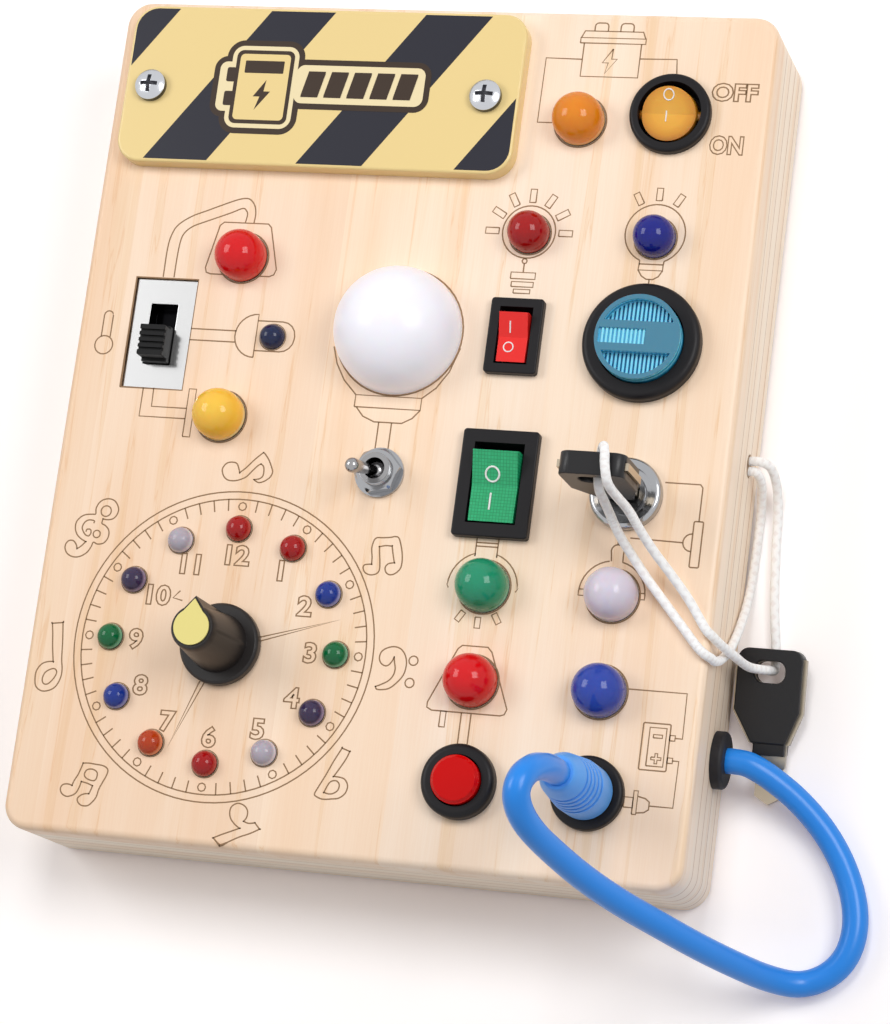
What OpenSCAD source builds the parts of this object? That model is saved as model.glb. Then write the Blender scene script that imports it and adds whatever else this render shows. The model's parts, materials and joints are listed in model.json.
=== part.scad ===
// Wooden busy board: a hollow laminated pine case with switches, lamps and a selector dial.
// The case lies on its back. +Z points out of the face, +Y to the top edge of the face, and
// the origin is at the centre of the back.

/* [Case] */
// Width of the case
case_w = 135; // [132:1:150]
// Height of the case, from its bottom edge to its top edge
case_h = 170; // [168:1:190]
// Thickness from the back to the face
case_t = 27; // [27:1:32]
// Thickness of the face panel
panel_t = 6; // [5:0.5:7]
// Thickness of the side walls
wall_t = 8; // [7:0.5:9]
// Radius of the corners, seen from the front
corner_r = 5; // [3:0.5:7]
// Radius of the rounded front and back edges
edge_r = 1.5; // [0.5:0.25:2.5]
// Thickness of the back panel
back_t = 3; // [2:0.5:3]

/* [Sign plate] */
// Width of the plate over the batteries
sign_w = 82.5; // [78:0.5:84]
// Height of the plate over the batteries
sign_h = 33; // [31:0.5:34]
// Thickness of the plate
sign_t = 3.5; // [2:0.5:5]

/* [Lamps] */
// Diameter of a large lamp
large_lamp_d = 10; // [9:0.5:10]
// Diameter of a medium lamp
medium_lamp_d = 8; // [7:0.5:8]
// Diameter of a small lamp
small_lamp_d = 5; // [4:0.5:5]
// Diameter of the white dome
dome_d = 25; // [22:1:26]

/* [Dial] */
// Radius of the ring of lamps
dial_lamp_r = 23.1; // [22:0.1:24]
// Diameter of the knob's skirt
knob_skirt_d = 15.9; // [15:0.1:18]
// Height of the knob above the face
knob_h = 18; // [15:0.5:20]

/* [Switches] */
// Angle that a rocker turns through
rocker_throw = 22; // [18:1:22]
// Tilt of the toggle lever from upright
toggle_tilt = 14; // [10:1:14]
// Travel of the push button
push_travel = 2.2; // [1:0.1:2.5]
// Travel of the slide button over its three positions
slide_travel = 4.8; // [3:0.2:4.8]

/* [Key] */
// Width of a key's head
key_head_w = 12.6; // [12:0.2:14]
// Length of a key's head
key_head_l = 18; // [17:0.5:18]
// Thickness of a key's head
key_head_t = 4.4; // [4:0.2:4.6]
// Length of a key's blade
key_blade_l = 8.5; // [8:0.5:12]

/* [Hidden] */
$fn = 48;

// Levels of the case, from the back up
face = case_t;
panel_under = case_t - panel_t;
cavity_w = case_w - 2*wall_t;
cavity_h = case_h - 2*wall_t;
cavity_r = 4;
rebate = 3;                      // width of the ledge that the back panel lies on
gap = 0.2;                       // play between the back panel and its rebate
slip = 0.05;                     // radial play of a running fit
post = [56, 73.5, 13];           // screw posts: x, y from the centre, and top
post_r = 4.5;

// Places of the parts on the face, as [x, y]
amber_at = [48.1, 64.3];
rotary_at = [48.1, 18.3];
lock_at = [48.5, -11.2];
socket_at = [48.1, -68.2];
red_rocker_at = [22.9, 18.3];
green_rocker_at = [23.15, -11];
push_at = [23.4, -68.3];
dome_at = [-0.5, 18.2];
toggle_at = [-0.5, -10.1];
slide_at = [-50.1, 15.4];
dial_at = [-27.4, -46.1];
sign_at = [-22.85, 66.35];
sign_screw_x = [-58.3, 11.7];
sign_screw_y = 65.6;
left_red_at = [-34.8, 31.7];
lower_red_at = [23.2, -49.1];
yellow_at = [-34.5, -0.8];
amber_lamp_at = [30.2, 62.4];
green_at = [23.1, -30.8];
white_at = [48.2, -30.7];
blue_at = [48.1, -49];
medium_red_at = [23.1, 39.2];
medium_blue_at = [48, 39.4];
slide_blue_at = [-26.3, 15.8];
string_hole = [0, 10];           // y and z of the hole in the right-hand side
grommet_at = [-57.2, 10];        // y and z of the grommet in the right-hand side

// Lamps: clearance hole, hidden flange and height of the round end's centre over the face
lamp_play = 0.1;
large_centre = 2.4;
medium_centre = 2;
small_centre = 0.4;
lamp_flange_t = 1.5;
lead_l = 6;
lead_pitch = 2.54;
hours = 12;
red_hours = [12, 1, 6];
blue_hours = [2, 8];
green_hours = [3, 9];
purple_hours = [4, 10];
clear_hours = [5, 11];
orange_hours = [7];

// Battery tray under the sign plate, for two cells side by side
tray_w = 53.6;
tray_h = 24;
tray_d = 14;
tray_at = [-23.3, 64.6];
tray_wall = 1.2;
cell_d = 10.5;
cell_l = 44.5;
cell_pitch = 11.4;
cell_z = face - tray_d + tray_wall + cell_d/2 + 0.05;
contact_t = 0.5;
cell_play = tray_w - 2*tray_wall - 2*contact_t - cell_l;

// Rockers: length, width, frame width, frame height, bezel height
green_size = [13.6, 9.2, 15, 21, 2];
red_size = [9.6, 5.9, 10.5, 15, 1.8];
amber_size = [10.6, 8.6, 16, 16, 2];
housing_d = 12;                  // depth of a switch housing under the face
tilt = rocker_throw/2;
end_rise = 0.34;                 // height of a rocker's ends over its pivot, per length
mid_rise = 0.235;                // height of a rocker's middle over its pivot, per length

// Rotary switch
rotary_d = 23;
rotary_bore = 17.2;
rotary_knob_d = 16.6;
rotary_h = 5.6;

// Lock and key
lock_d = 14;
core_d = 8;
core_face = face + 2.4;
key_neck_l = 3;
key_shoulder = core_face + 0.6;
blade_w = 5.4;
blade_t = 1.4;
eye = [6, 4.2, 2.3];             // eye of a key's head: width, height, rim
bow_drop = 1.6;                  // how far the steel in the head stops short of its end
head_shift = -1.4;               // the head's middle stands beside the blade's
spare_at = [75.2, -34];          // head end of the spare key, on the table
spare_tilt = 8.6;                // its head end rests on the string

// Plug
plug_base = face + 2.3;
plug_top = 51;
plug_d = 10.6;
pin_d = 5.5;
pin_foot = 17;

// Cords
string_d = 1.8;
cord_d = 5;
blue_route = [
    [48.1, -68.2, 51], [48.1, -68.2, 52.6], [48, -68.3, 56], [47.5, -68.7, 60], [46.6, -69.8, 63.6],
    [45.7, -72, 66], [45.3, -74.8, 66.2], [45.8, -77.6, 64], [47.3, -80.2, 60],
    [50, -82.8, 54], [54, -85.8, 46.5], [59, -88.6, 38.5], [65, -91.2, 30],
    [71, -93.6, 21.5], [76.5, -95.4, 13.5], [81.5, -96.6, 7], [86.5, -96.8, 3.4],
    [91, -95, 2.5], [94.4, -91.4, 2.5], [95.8, -86.4, 2.5], [95.2, -80.6, 2.5],
    [92.6, -74.2, 2.5], [88.6, -68.2, 3.4], [83.6, -63.2, 5.6], [78.4, -59.6, 8],
    [74.2, -57.6, 9.6], [71.4, -57.2, 10], [69.8, -57.2, 10], [67.5, -57.2, 10]
];
string_hole_route = [
    [67.5, -1, 10], [69, -1.2, 9.8], [69.7, -2.5, 7.4], [69.3, -5, 3.6], [69, -8.6, 1.2],
    [68.9, -13, 0.95], [68.8, -17.5, 0.95], [68.7, -22, 1.3], [68.6, -26, 3], [68.6, -30, 6],
    [68.6, -34, 10], [68.6, -37.5, 15], [68.6, -40, 20.6], [68.6, -41.2, 25.2],
    [68.1, -41, 27.1], [66.9, -40.4, 28.1], [65.3, -39, 28.1], [62.4, -35.8, 28.05],
    [58.8, -31.8, 28.3], [55.2, -27.7, 29.6], [52.4, -24.1, 31.7], [50.5, -21.4, 34.5],
    [49.34, -19.2, 37], [48.99, -18.35, 38]
];
string_key_route = [
    [48.99, -18.35, 38], [48.64, -17.5, 39], [48, -15.7, 42.3], [47.75, -14.75, 44.7],
    [47.7, -13, 46.4], [47.7, -11.2, 46.6], [47.8, -9.5, 46.8], [48.3, -7.7, 48.4],
    [49, -7.75, 50.4], [49.5, -8.3, 51.9], [49.9, -9.6, 52.4], [50.1, -11.2, 52.5],
    [50.4, -12.8, 52.45], [50.7, -14.3, 51.8], [51, -15.3, 50.1], [51.5, -16, 46.5],
    [52.3, -16.8, 42], [53.01, -17.74, 40.13], [53.4, -18.4, 39.2]
];
string_spare_route = [
    [53.4, -18.4, 39.2], [53.79, -19.06, 38.27], [54.9, -20.8, 36], [56.8, -23.3, 33.4],
    [59.8, -26.7, 30.8], [63, -30.5, 29], [65.3, -33.8, 28.2], [66.9, -36, 28.1],
    [68.1, -37, 27.1], [68.9, -37.7, 25], [69.7, -38.2, 22], [70.7, -38.7, 18], [71.2, -38.9, 13.4],
    [72, -39, 9.9], [73.5, -38.9, 8], [74.9, -38.7, 6.6], [75.3, -38.4, 4.6], [75.3, -37.8, 2.4],
    [75.1, -36.5, 1.15], [74.9, -34, 0.95], [74.2, -29.5, 0.95], [73.5, -24.5, 0.95],
    [73, -19, 0.95], [72.6, -13.5, 0.95], [72.4, -9, 1], [72.3, -5.2, 2.2], [72.1, -1.8, 5],
    [71.3, 0.4, 8.2], [69.6, 1, 9.9], [67.5, 1, 10]
];

// Colours
pine = "#E9CDA6";
black = "#1D1C20";
chrome = "#C9CCD0";
brass = "#C9A25A";
steel = "#B9A98C";

// ---- Shapes used by more than one part ----

// Rectangle with round corners, centred
module round_rect(w, h, r) {
    square([w - 2*r, h], center = true);
    square([w, h - 2*r], center = true);
    for (x = [-1, 1], y = [-1, 1]) translate([x*(w/2 - r), y*(h/2 - r)]) circle(r);
}

// Slab on z = 0 with round corners in plan and a rounded top edge
module soft_slab(w, h, t, r, e) {
    linear_extrude(t - e) round_rect(w, h, r);
    linear_extrude(t) round_rect(w - 2*e, h - 2*e, r - e);
    for (x = [-1, 1], y = [-1, 1]) translate([x*(w/2 - r), y*(h/2 - r), t - e])
        rotate_extrude() translate([r - e, 0]) circle(e, $fn = 24);
    for (y = [-1, 1]) translate([0, y*(h/2 - e), t - e]) rotate([0, 90, 0])
        cylinder(h = w - 2*r, r = e, center = true, $fn = 24);
    for (x = [-1, 1]) translate([x*(w/2 - e), 0, t - e]) rotate([90, 0, 0])
        cylinder(h = h - 2*r, r = e, center = true, $fn = 24);
}

// Puts its children on the face at a place [x, y]
module on_face(at) {
    translate([at[0], at[1], face]) children();
}

// Ring with a rounded upper outer edge
module soft_ring(outer_d, inner_d, h, e) {
    rotate_extrude() {
        translate([inner_d/2, 0]) square([(outer_d - inner_d)/2, h - e]);
        translate([inner_d/2, 0]) square([(outer_d - inner_d)/2 - e, h]);
        translate([outer_d/2 - e, h - e]) circle(e, $fn = 24);
    }
}

function unit(v) = v/norm(v);
function square_to(u, t) = unit(u - (u*t)*t);
function tangents(p) = [for (i = [0 : len(p) - 1])
    unit(p[min(i + 1, len(p) - 1)] - p[max(i - 1, 0)])];
function side_dirs(ts, u, i = 0) = i == len(ts) ? [] :
    let (n = square_to(u, ts[i])) concat([n], side_dirs(ts, n, i + 1));

// Tube of diameter d along the points of a route, with flat ends square to the route
module tube(route, d, sides, up = [0, 0, 1]) {
    ts = tangents(route);
    ns = side_dirs(ts, up);
    rings = len(route);
    points = [for (i = [0 : rings - 1], k = [0 : sides - 1]) let (a = 360*k/sides)
        route[i] + d/2*(cos(a)*ns[i] + sin(a)*cross(ts[i], ns[i]))];
    walls = [for (i = [0 : rings - 2], k = [0 : sides - 1])
        let (a = i*sides + k, b = i*sides + (k + 1) % sides)
        each [[a, a + sides, b + sides], [a, b + sides, b]]];
    first = [for (k = [0 : sides - 1]) k];
    last = [for (k = [sides - 1 : -1 : 0]) (rings - 1)*sides + k];
    polyhedron(points, concat([first], walls, [last]));
}

// ---- Case ----

module tray_opening(grow = 0) {
    translate([tray_at[0], tray_at[1], panel_under - 1])
        linear_extrude(panel_t + 2) square([tray_w + 0.4 + grow, tray_h + 0.4 + grow], center = true);
}

module through(at, d) {
    translate([at[0], at[1], panel_under - 1]) cylinder(h = panel_t + 2, d = d);
}

module rocker_cutout(at, size) {
    translate([at[0], at[1], panel_under - 1]) linear_extrude(panel_t + 2)
        square([size[2] - 2 + 0.2, size[3] - 1.8 + 0.2], center = true);
}

function hour_at(h) = dial_at + dial_lamp_r*[sin(360*h/hours), cos(360*h/hours)];
large_places = [left_red_at, lower_red_at, yellow_at, amber_lamp_at, green_at, white_at, blue_at];
medium_places = [medium_red_at, medium_blue_at];
small_places = concat([slide_blue_at], [for (h = [1 : hours]) hour_at(h)]);

module face_panel() {
    color(pine) difference() {
        translate([0, 0, panel_under]) soft_slab(case_w, case_h, panel_t, corner_r, edge_r);
        tray_opening();
        for (p = large_places) through(p, large_lamp_d + lamp_play);
        for (p = medium_places) through(p, medium_lamp_d + lamp_play);
        for (p = small_places) through(p, small_lamp_d + lamp_play);
        through(dome_at, dome_d + lamp_play);
        through(amber_at, 13.7);
        rocker_cutout(red_rocker_at, red_size);
        rocker_cutout(green_rocker_at, green_size);
        through(rotary_at, 20);
        through(toggle_at, 6.2);
        through(push_at, 12);
        through(lock_at, 12);
        through(socket_at, 11);
        through(dial_at, 7.2);
        for (x = sign_screw_x) through([x, sign_screw_y], 3);
        translate([slide_at[0], slide_at[1], panel_under - 1])
            linear_extrude(panel_t + 2) square([8.4, 16.4], center = true);
        translate([slide_at[0], slide_at[1], face - slide_sink - plate_t])
            linear_extrude(4) square([13.2, 22.8], center = true);
    }
}

module case_frame() {
    color(pine) difference() {
        union() {
            difference() {
                translate([0, 0, panel_under]) mirror([0, 0, 1])
                    soft_slab(case_w, case_h, panel_under, corner_r, edge_r);
                translate([0, 0, -1]) linear_extrude(case_t) round_rect(cavity_w, cavity_h, cavity_r);
            }
            for (x = [-1, 1], y = [-1, 1]) translate([x*post[0], y*post[1], back_t])
                cylinder(h = post[2] - back_t, r = post_r);
        }
        translate([0, 0, -1]) linear_extrude(back_t + 1)
            round_rect(cavity_w + 2*rebate, cavity_h + 2*rebate, cavity_r);
        for (x = [-1, 1], y = [-1, 1]) translate([x*post[0], y*post[1], back_t - 1])
            cylinder(h = 10, d = 2.6);
        translate([case_w/2 - wall_t - 1, string_hole[0], string_hole[1]]) rotate([0, 90, 0])
            cylinder(h = wall_t + 2, d = 4.6);
        translate([case_w/2 - wall_t - 1, grommet_at[0], grommet_at[1]]) rotate([0, 90, 0])
            cylinder(h = wall_t + 2, d = 8.2);
    }
}

module back_panel() {
    color("#D9BE95") difference() {
        linear_extrude(back_t) round_rect(cavity_w + 2*rebate - 2*gap, cavity_h + 2*rebate - 2*gap, cavity_r);
        for (x = [-1, 1], y = [-1, 1]) translate([x*post[0], y*post[1], 0]) {
            translate([0, 0, -1]) cylinder(h = back_t + 2, d = 3);
            translate([0, 0, -0.01]) cylinder(h = 1.71, d1 = 5.8, d2 = 3);
        }
    }
}

module back_screws() {
    color(chrome) for (x = [-1, 1], y = [-1, 1]) translate([x*post[0], y*post[1], 0]) difference() {
        union() {
            translate([0, 0, 0.1]) cylinder(h = 1.5, d1 = 5.5, d2 = 2.6);
            translate([0, 0, 0.1]) cylinder(h = 9.5, d = 2.6);
            translate([0, 0, 9.6]) cylinder(h = 1.8, d1 = 2.6, d2 = 0.6);
        }
        cross_recess(2.6, 0.6);
    }
}

// Cross of two slots cut down from z = 0 by depth, or up from a screw's lower face
module cross_recess(l, w) {
    for (a = [0, 90]) rotate([0, 0, a]) cube([l, w, 2.2], center = true);
}

// ---- Sign plate and batteries ----

module sign_plate() {
    color("#EFD28A") difference() {
        on_face(sign_at) soft_slab(sign_w, sign_h, sign_t, 5, 0.6);
        for (x = sign_screw_x) translate([x, sign_screw_y, face - 1]) cylinder(h = sign_t + 2, d = 3.4);
    }
}

module sign_screws() {
    color(chrome) for (x = sign_screw_x) translate([x, sign_screw_y, face + sign_t]) difference() {
        union() {
            intersection() {
                cylinder(h = 2.4, d = 6.3);
                translate([0, 0, -3]) sphere(r = 5.3);
            }
            translate([0, 0, -panel_t - sign_t + 0.3]) cylinder(h = panel_t + sign_t, d = 3);
        }
        translate([0, 0, 2.2]) cross_recess(3.6, 0.8);
    }
}

module battery_tray() {
    color(black) translate([tray_at[0], tray_at[1], face - tray_d]) difference() {
        linear_extrude(tray_d - 0.3) square([tray_w, tray_h], center = true);
        for (y = [-1, 1]) translate([0, y*cell_pitch/2, tray_wall + tray_d/2])
            cube([tray_w - 2*tray_wall, cell_d + 0.2, tray_d], center = true);
    }
}

// Cells side by side, each with its button end against the plate opposite its spring
module battery_cells() {
    color("#3E6E8E") for (y = [-1, 1])
        translate([tray_at[0] + y*(cell_play/2 - 0.05), tray_at[1] + y*cell_pitch/2, cell_z])
            rotate([0, 90*y, 0]) {
                translate([0, 0, -cell_l/2]) cylinder(h = cell_l - 1, d = cell_d);
                translate([0, 0, cell_l/2 - 1]) cylinder(h = 1, d = 3.8);
            }
}

module battery_contacts() {
    inner = tray_w/2 - tray_wall;
    color(brass) for (y = [-1, 1]) translate([tray_at[0], tray_at[1] + y*cell_pitch/2, cell_z]) {
        for (x = [-1, 1]) translate([x*(inner - contact_t/2), 0, 0])
            cube([contact_t, 8, 8], center = true);
        translate([-y*(inner - contact_t), 0, 0]) rotate([0, 90*y, 0])
            cylinder(h = cell_play - 0.1, d1 = 6, d2 = 4);
    }
}

// ---- Lamps ----

// Lamp in a hole of the panel: hidden flange under the panel, straight body and round end
module lamp(at, d, centre) {
    on_face(at) {
        translate([0, 0, -panel_t - lamp_flange_t]) cylinder(h = lamp_flange_t, d = d + 1.4);
        translate([0, 0, -panel_t]) cylinder(h = panel_t + centre, d = d);
        translate([0, 0, centre]) intersection() {
            sphere(d = d);
            cylinder(h = d, d = d + 1);
        }
    }
}

module large_lamp(at) { lamp(at, large_lamp_d, large_centre); }
module small_lamp(at) { lamp(at, small_lamp_d, small_centre); }
module hour_lamps(list) { for (h = list) small_lamp(hour_at(h)); }

module small_lamps_red() { color("#B0131C") hour_lamps(red_hours); }
module small_lamps_blue() {
    color("#1F3C9A") {
        hour_lamps(blue_hours);
        small_lamp(slide_blue_at);
    }
}
module small_lamps_green() { color("#0F7A3E") hour_lamps(green_hours); }
module small_lamps_purple() { color("#4B3A63") hour_lamps(purple_hours); }
module small_lamps_clear() { color("#B9B4C0") hour_lamps(clear_hours); }
module small_lamp_orange() { color("#C4491B") hour_lamps(orange_hours); }
module large_lamps_red() {
    color("#C4161F") {
        large_lamp(left_red_at);
        large_lamp(lower_red_at);
    }
}
module large_lamp_yellow() { color("#F6B93B") large_lamp(yellow_at); }
module large_lamp_amber() { color("#F19A33") large_lamp(amber_lamp_at); }
module large_lamp_green() { color("#1F7E4C") large_lamp(green_at); }
module large_lamp_white() { color("#C9C3DA") large_lamp(white_at); }
module large_lamp_blue() { color("#2A3FA8") large_lamp(blue_at); }
module medium_lamp_red() { color("#A81217") lamp(medium_red_at, medium_lamp_d, medium_centre); }
module medium_lamp_blue() { color("#20309A") lamp(medium_blue_at, medium_lamp_d, medium_centre); }

module dome_lens() {
    wall = 1.2;
    lift = 1.2;
    color("#F2F0F4") on_face(dome_at) difference() {
        union() {
            translate([0, 0, -panel_t - 1]) cylinder(h = 1, d = dome_d + 3);
            translate([0, 0, -panel_t]) cylinder(h = panel_t + lift, d = dome_d);
            translate([0, 0, lift]) sphere(d = dome_d);
        }
        translate([0, 0, lift]) sphere(d = dome_d - 2*wall);
        translate([0, 0, -panel_t - 14]) cylinder(h = panel_t + 14 + lift, d = dome_d - 2*wall);
    }
}

module dome_lamp_board() {
    color("#2E6B3F") on_face(dome_at) translate([0, 0, -panel_t - 2.6]) {
        cylinder(h = 1.6, d = dome_d + 3);
        translate([0, 0, 1.6]) linear_extrude(1.2) square([5, 5], center = true);
    }
}

// ---- Terminals, wiring and nuts behind the panel ----

// Two leads under a lamp's flange
module leads(at) {
    under = -panel_t - lamp_flange_t;
    for (s = [-1, 1]) on_face(at) translate([s*lead_pitch/2, 0, under - lead_l/2])
        cube([0.6, 0.6, lead_l], center = true);
}

// Flat solder tags under a switch, at the given x and y offsets from its centre
module tags(at, offsets, top, l = 5) {
    for (o = offsets) translate([at[0] + o[0], at[1] + o[1], top - l]) linear_extrude(l)
        square([2.6, 0.7], center = true);
}

module terminals() {
    low = face - housing_d;
    color(chrome) {
        for (p = concat(large_places, medium_places, small_places)) leads(p);
        tags(green_rocker_at, [[0, 5], [0, -5]], low);
        tags(red_rocker_at, [[0, 3.5], [0, -3.5]], low);
        tags(amber_at, [[0, 3.5], [0, -3.5]], low);
        tags(rotary_at, [[0, 4], [0, -4]], low);
        tags(toggle_at, [[0, 4], [0, 0], [0, -4]], 12, 4);
        tags(push_at, [[0, 2.4], [0, -2.4]], 14);
        tags(lock_at, [[0, 2.4], [0, -2.4]], 14);
        tags(socket_at, [[0, 2.4], [0, -2.4]], 14);
        tags(slide_at, [[0, 5], [0, 1.7], [0, -1.7], [0, -5]], 16, 4);
        for (h = [1 : hours]) translate([dial_at[0], dial_at[1], 0]) rotate([0, 0, -360*h/hours])
            translate([0, 9.5, 7.9]) linear_extrude(2.6) square([1.6, 0.7], center = true);
    }
}

// Straight insulated wire between two points, with round ends
module wire(a, b, d = 1.4) {
    v = b - a;
    l = norm(v);
    turn = [0, acos(v[2]/l), atan2(v[1], v[0])];
    translate(a) rotate(turn) cylinder(h = l, d = d, $fn = 16);
    translate(b) sphere(d = d, $fn = 16);
}

// Loom: two trunks between the columns of switches, branches to them and the cord's inner end
module wiring_loom() {
    z = 10.5;
    color("#A8322C") {
        wire([36, 62, z], [36, -66, z], 2.4);
        wire([10.5, 44, z], [10.5, -60, z], 2.4);
        wire([10.5, 44, z], [36, 44, z], 1.8);
        wire([-20, 44, z], [10.5, 44, z], 1.8);
        wire([10.5, -8, z], [3, -8, z]);
        for (y = [62, 18.3, -11.2, -49, -66]) wire([36, y, z], [45, y, z]);
        for (y = [18.3, -11, -49, -66]) wire([36, y, z], [26.4, y, z]);
        wire([-20, 44, z], [-20, 50.6, z]);
        wire([-20, 44, z], [-47, 44, z]);
        wire([-47, 44, z], [-47, 18, z]);
        wire([10.5, -46.1, z], [-14, -46.1, z]);
        translate([case_w/2 - 16, grommet_at[0], grommet_at[1]]) rotate([0, 90, 0])
            cylinder(h = 16, d = cord_d);
        wire([51.5, -57.2, z], [36, -57.2, z], 2);
    }
}

// Six-sided nut with a round bore, across flats af
module nut(af, bore, h) {
    difference() {
        cylinder(h = h, d = af/cos(30), $fn = 6);
        translate([0, 0, -1]) cylinder(h = h + 2, d = bore);
    }
}

module panel_nuts() {
    under = -panel_t - 2.2;
    color(chrome) {
        on_face(push_at) translate([0, 0, under]) nut(14, 12, 2.2);
        on_face(lock_at) translate([0, 0, under]) nut(14, 12, 2.2);
        on_face(socket_at) translate([0, 0, under]) nut(13, 11, 2.2);
        on_face(dial_at) nut(9.6, 7.1, 1.8);
        on_face(toggle_at) {
            difference() {
                cylinder(h = 0.8, d = 9.8);
                translate([0, 0, -1]) cylinder(h = 3, d = 6.1);
            }
            translate([0, 0, 0.85]) rotate([0, 0, 12]) intersection() {
                nut(8, 6.1, 2);
                translate([0, 0, -2.6]) sphere(d = 12.2);
            }
        }
    }
}

// ---- Rocker switches ----

function pivot_z(size) = face + size[4]
    - (end_rise*cos(tilt) - sin(tilt)/2)*size[0];
function pocket_l(size) = 2*((cos(tilt)/2 + end_rise*sin(tilt))*size[0] + 0.35);
pivot_d = 2;

// Outline of a rocker from the side, about its pivot, y to the right
module rocker_outline(l) {
    polygon([[-l/2, end_rise*l], [0, mid_rise*l], [l/2, end_rise*l], [l/2, end_rise*l - 0.12*l],
             [0.36*l, -0.2*l], [0, -0.33*l], [-0.36*l, -0.2*l], [-l/2, end_rise*l - 0.12*l]]);
}

// Extrudes a side outline along x, centred
module across(w) {
    rotate([90, 0, 90]) linear_extrude(w, center = true) children();
}

// Rocker about its pivot, rocked to the rest side, with a stub on each flank
module rocker(at, size) {
    translate([at[0], at[1], pivot_z(size)]) rotate([tilt, 0, 0]) {
        children();
        rotate([0, 90, 0]) cylinder(h = size[1] + 1, d = pivot_d, center = true);
    }
}

// Bezel, housing, pocket and pivot holes of a rocker's frame
module rocker_frame(at, size) {
    difference() {
        union() {
            on_face(at) soft_slab(size[2], size[3], size[4], 0.7, 0.35);
            translate([at[0], at[1], face - housing_d]) linear_extrude(housing_d)
                square([size[2] - 2, size[3] - 1.8], center = true);
        }
        rocker_pocket(at, size);
    }
}

module rocker_pocket(at, size) {
    translate([at[0], at[1], pivot_z(size) - 0.42*size[0]])
        linear_extrude(20) square([size[1] + 0.7, pocket_l(size)], center = true);
    translate([at[0], at[1], pivot_z(size)]) rotate([0, 90, 0])
        cylinder(h = size[1] + 1.6, d = pivot_d + 2*slip, center = true);
}

module square_rocker(at, size) {
    rocker(at, size) intersection() {
        across(size[1]) rocker_outline(size[0]);
        rotate([90, 0, 0]) linear_extrude(2*size[0], center = true)
            polygon([[-size[1]/2, -size[0]], [-size[1]/2, 0.1*size[0]], [-size[1]*0.42, size[0]],
                     [size[1]*0.42, size[0]], [size[1]/2, 0.1*size[0]], [size[1]/2, -size[0]]]);
    }
}

module red_rocker_frame() { color(black) rocker_frame(red_rocker_at, red_size); }
module green_rocker_frame() { color(black) rocker_frame(green_rocker_at, green_size); }
module red_rocker() { color("#E02A22") square_rocker(red_rocker_at, red_size); }
module green_rocker() { color("#1FA05E") square_rocker(green_rocker_at, green_size); }

module amber_rocker_frame() {
    color(black) difference() {
        union() {
            on_face(amber_at) soft_ring(16, 2, 2, 0.8);
            translate([amber_at[0], amber_at[1], face - housing_d]) cylinder(h = housing_d + 1, d = 13.5);
        }
        translate([amber_at[0], amber_at[1], pivot_z(amber_size) - 0.42*amber_size[0]])
            cylinder(h = 20, d = pocket_l(amber_size));
        translate([amber_at[0], amber_at[1], pivot_z(amber_size)]) rotate([0, 90, 0])
            cylinder(h = 12.8, d = pivot_d + 2*slip, center = true);
    }
}

module amber_rocker() {
    l = amber_size[0];
    color("#F2A32C") translate([amber_at[0], amber_at[1], pivot_z(amber_size)]) rotate([tilt, 0, 0]) {
        intersection() {
            across(l) rocker_outline(l);
            translate([0, 0, -l]) cylinder(h = 2*l, d = l);
        }
        rotate([0, 90, 0]) cylinder(h = 12.4, d = pivot_d, center = true);
    }
}

// ---- Rotary switch ----

rotary_floor = face - 2.8;
rotary_stem_d = 4;
bar_w = 6;

module rotary_frame() {
    color(black) difference() {
        on_face(rotary_at) {
            soft_ring(rotary_d, rotary_bore, 3, 1.2);
            translate([0, 0, -housing_d]) cylinder(h = housing_d, d = 19.8);
        }
        translate([rotary_at[0], rotary_at[1], rotary_floor]) cylinder(h = 10, d = rotary_bore);
        translate([rotary_at[0], rotary_at[1], face - 10]) cylinder(h = 10, d = rotary_stem_d + 2*slip);
    }
}

rib_pitch = 0.8;
rib_w = 0.4;

// Round cap with a raised finger bar across it, a ribbed hollow on each side of the bar and a
// ribbed inlay in the pointing half of the bar
module rotary_knob() {
    foot = rotary_floor + 0.3;
    top = face + rotary_h;
    hollow_z = top - 2.6;
    wall = 0.9;
    color("#1E86C8") translate([rotary_at[0], rotary_at[1], 0]) {
        difference() {
            union() {
                translate([0, 0, foot]) cylinder(h = top - foot, d = rotary_knob_d);
                translate([0, 0, face - 9.5]) cylinder(h = 10, d = rotary_stem_d);
            }
            for (s = [-1, 1]) intersection() {
                translate([0, 0, hollow_z]) cylinder(h = 5, d = rotary_knob_d - 2*wall);
                translate([-10, s > 0 ? bar_w/2 : -10 - bar_w/2, hollow_z]) cube([20, 10, 5]);
            }
            translate([-7.6, -1.5, top - 0.7]) cube([9.2, 3, 2]);
        }
        for (s = [-1, 1], i = [-8 : 8]) translate([i*rib_pitch, s*bar_w/2, hollow_z])
            rib(i*rib_pitch, s, wall);
        for (i = [0 : 10]) translate([-6.8 + i*rib_pitch, 0, top - 0.7])
            cube([rib_w, 3, 0.7], center = true);
    }
}

// One rib on the floor of a hollow, from the bar out to the wall
module rib(x, side, wall) {
    reach = sqrt(pow(rotary_knob_d/2 - wall, 2) - x*x) - bar_w/2 + 0.2;
    translate([-rib_w/2, side > 0 ? 0 : -reach, 0]) cube([rib_w, reach, 0.8]);
}

// ---- Toggle switch ----

toggle_turn = 215;               // direction that the lever leans, from +X
toggle_pivot = face + 1.5;
ball_d = 4.1;

module toggle_body() {
    color("#8D9196") difference() {
        union() {
            translate([toggle_at[0], toggle_at[1], 12]) linear_extrude(panel_under - 12) rotate(toggle_turn)
                square([8, 13], center = true);
            on_face(toggle_at) translate([0, 0, -panel_t]) cylinder(h = panel_t + 4.2, d = 6);
        }
        translate([toggle_at[0], toggle_at[1], toggle_pivot - 4]) cylinder(h = 12, d = ball_d + 2*slip);
    }
}

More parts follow.
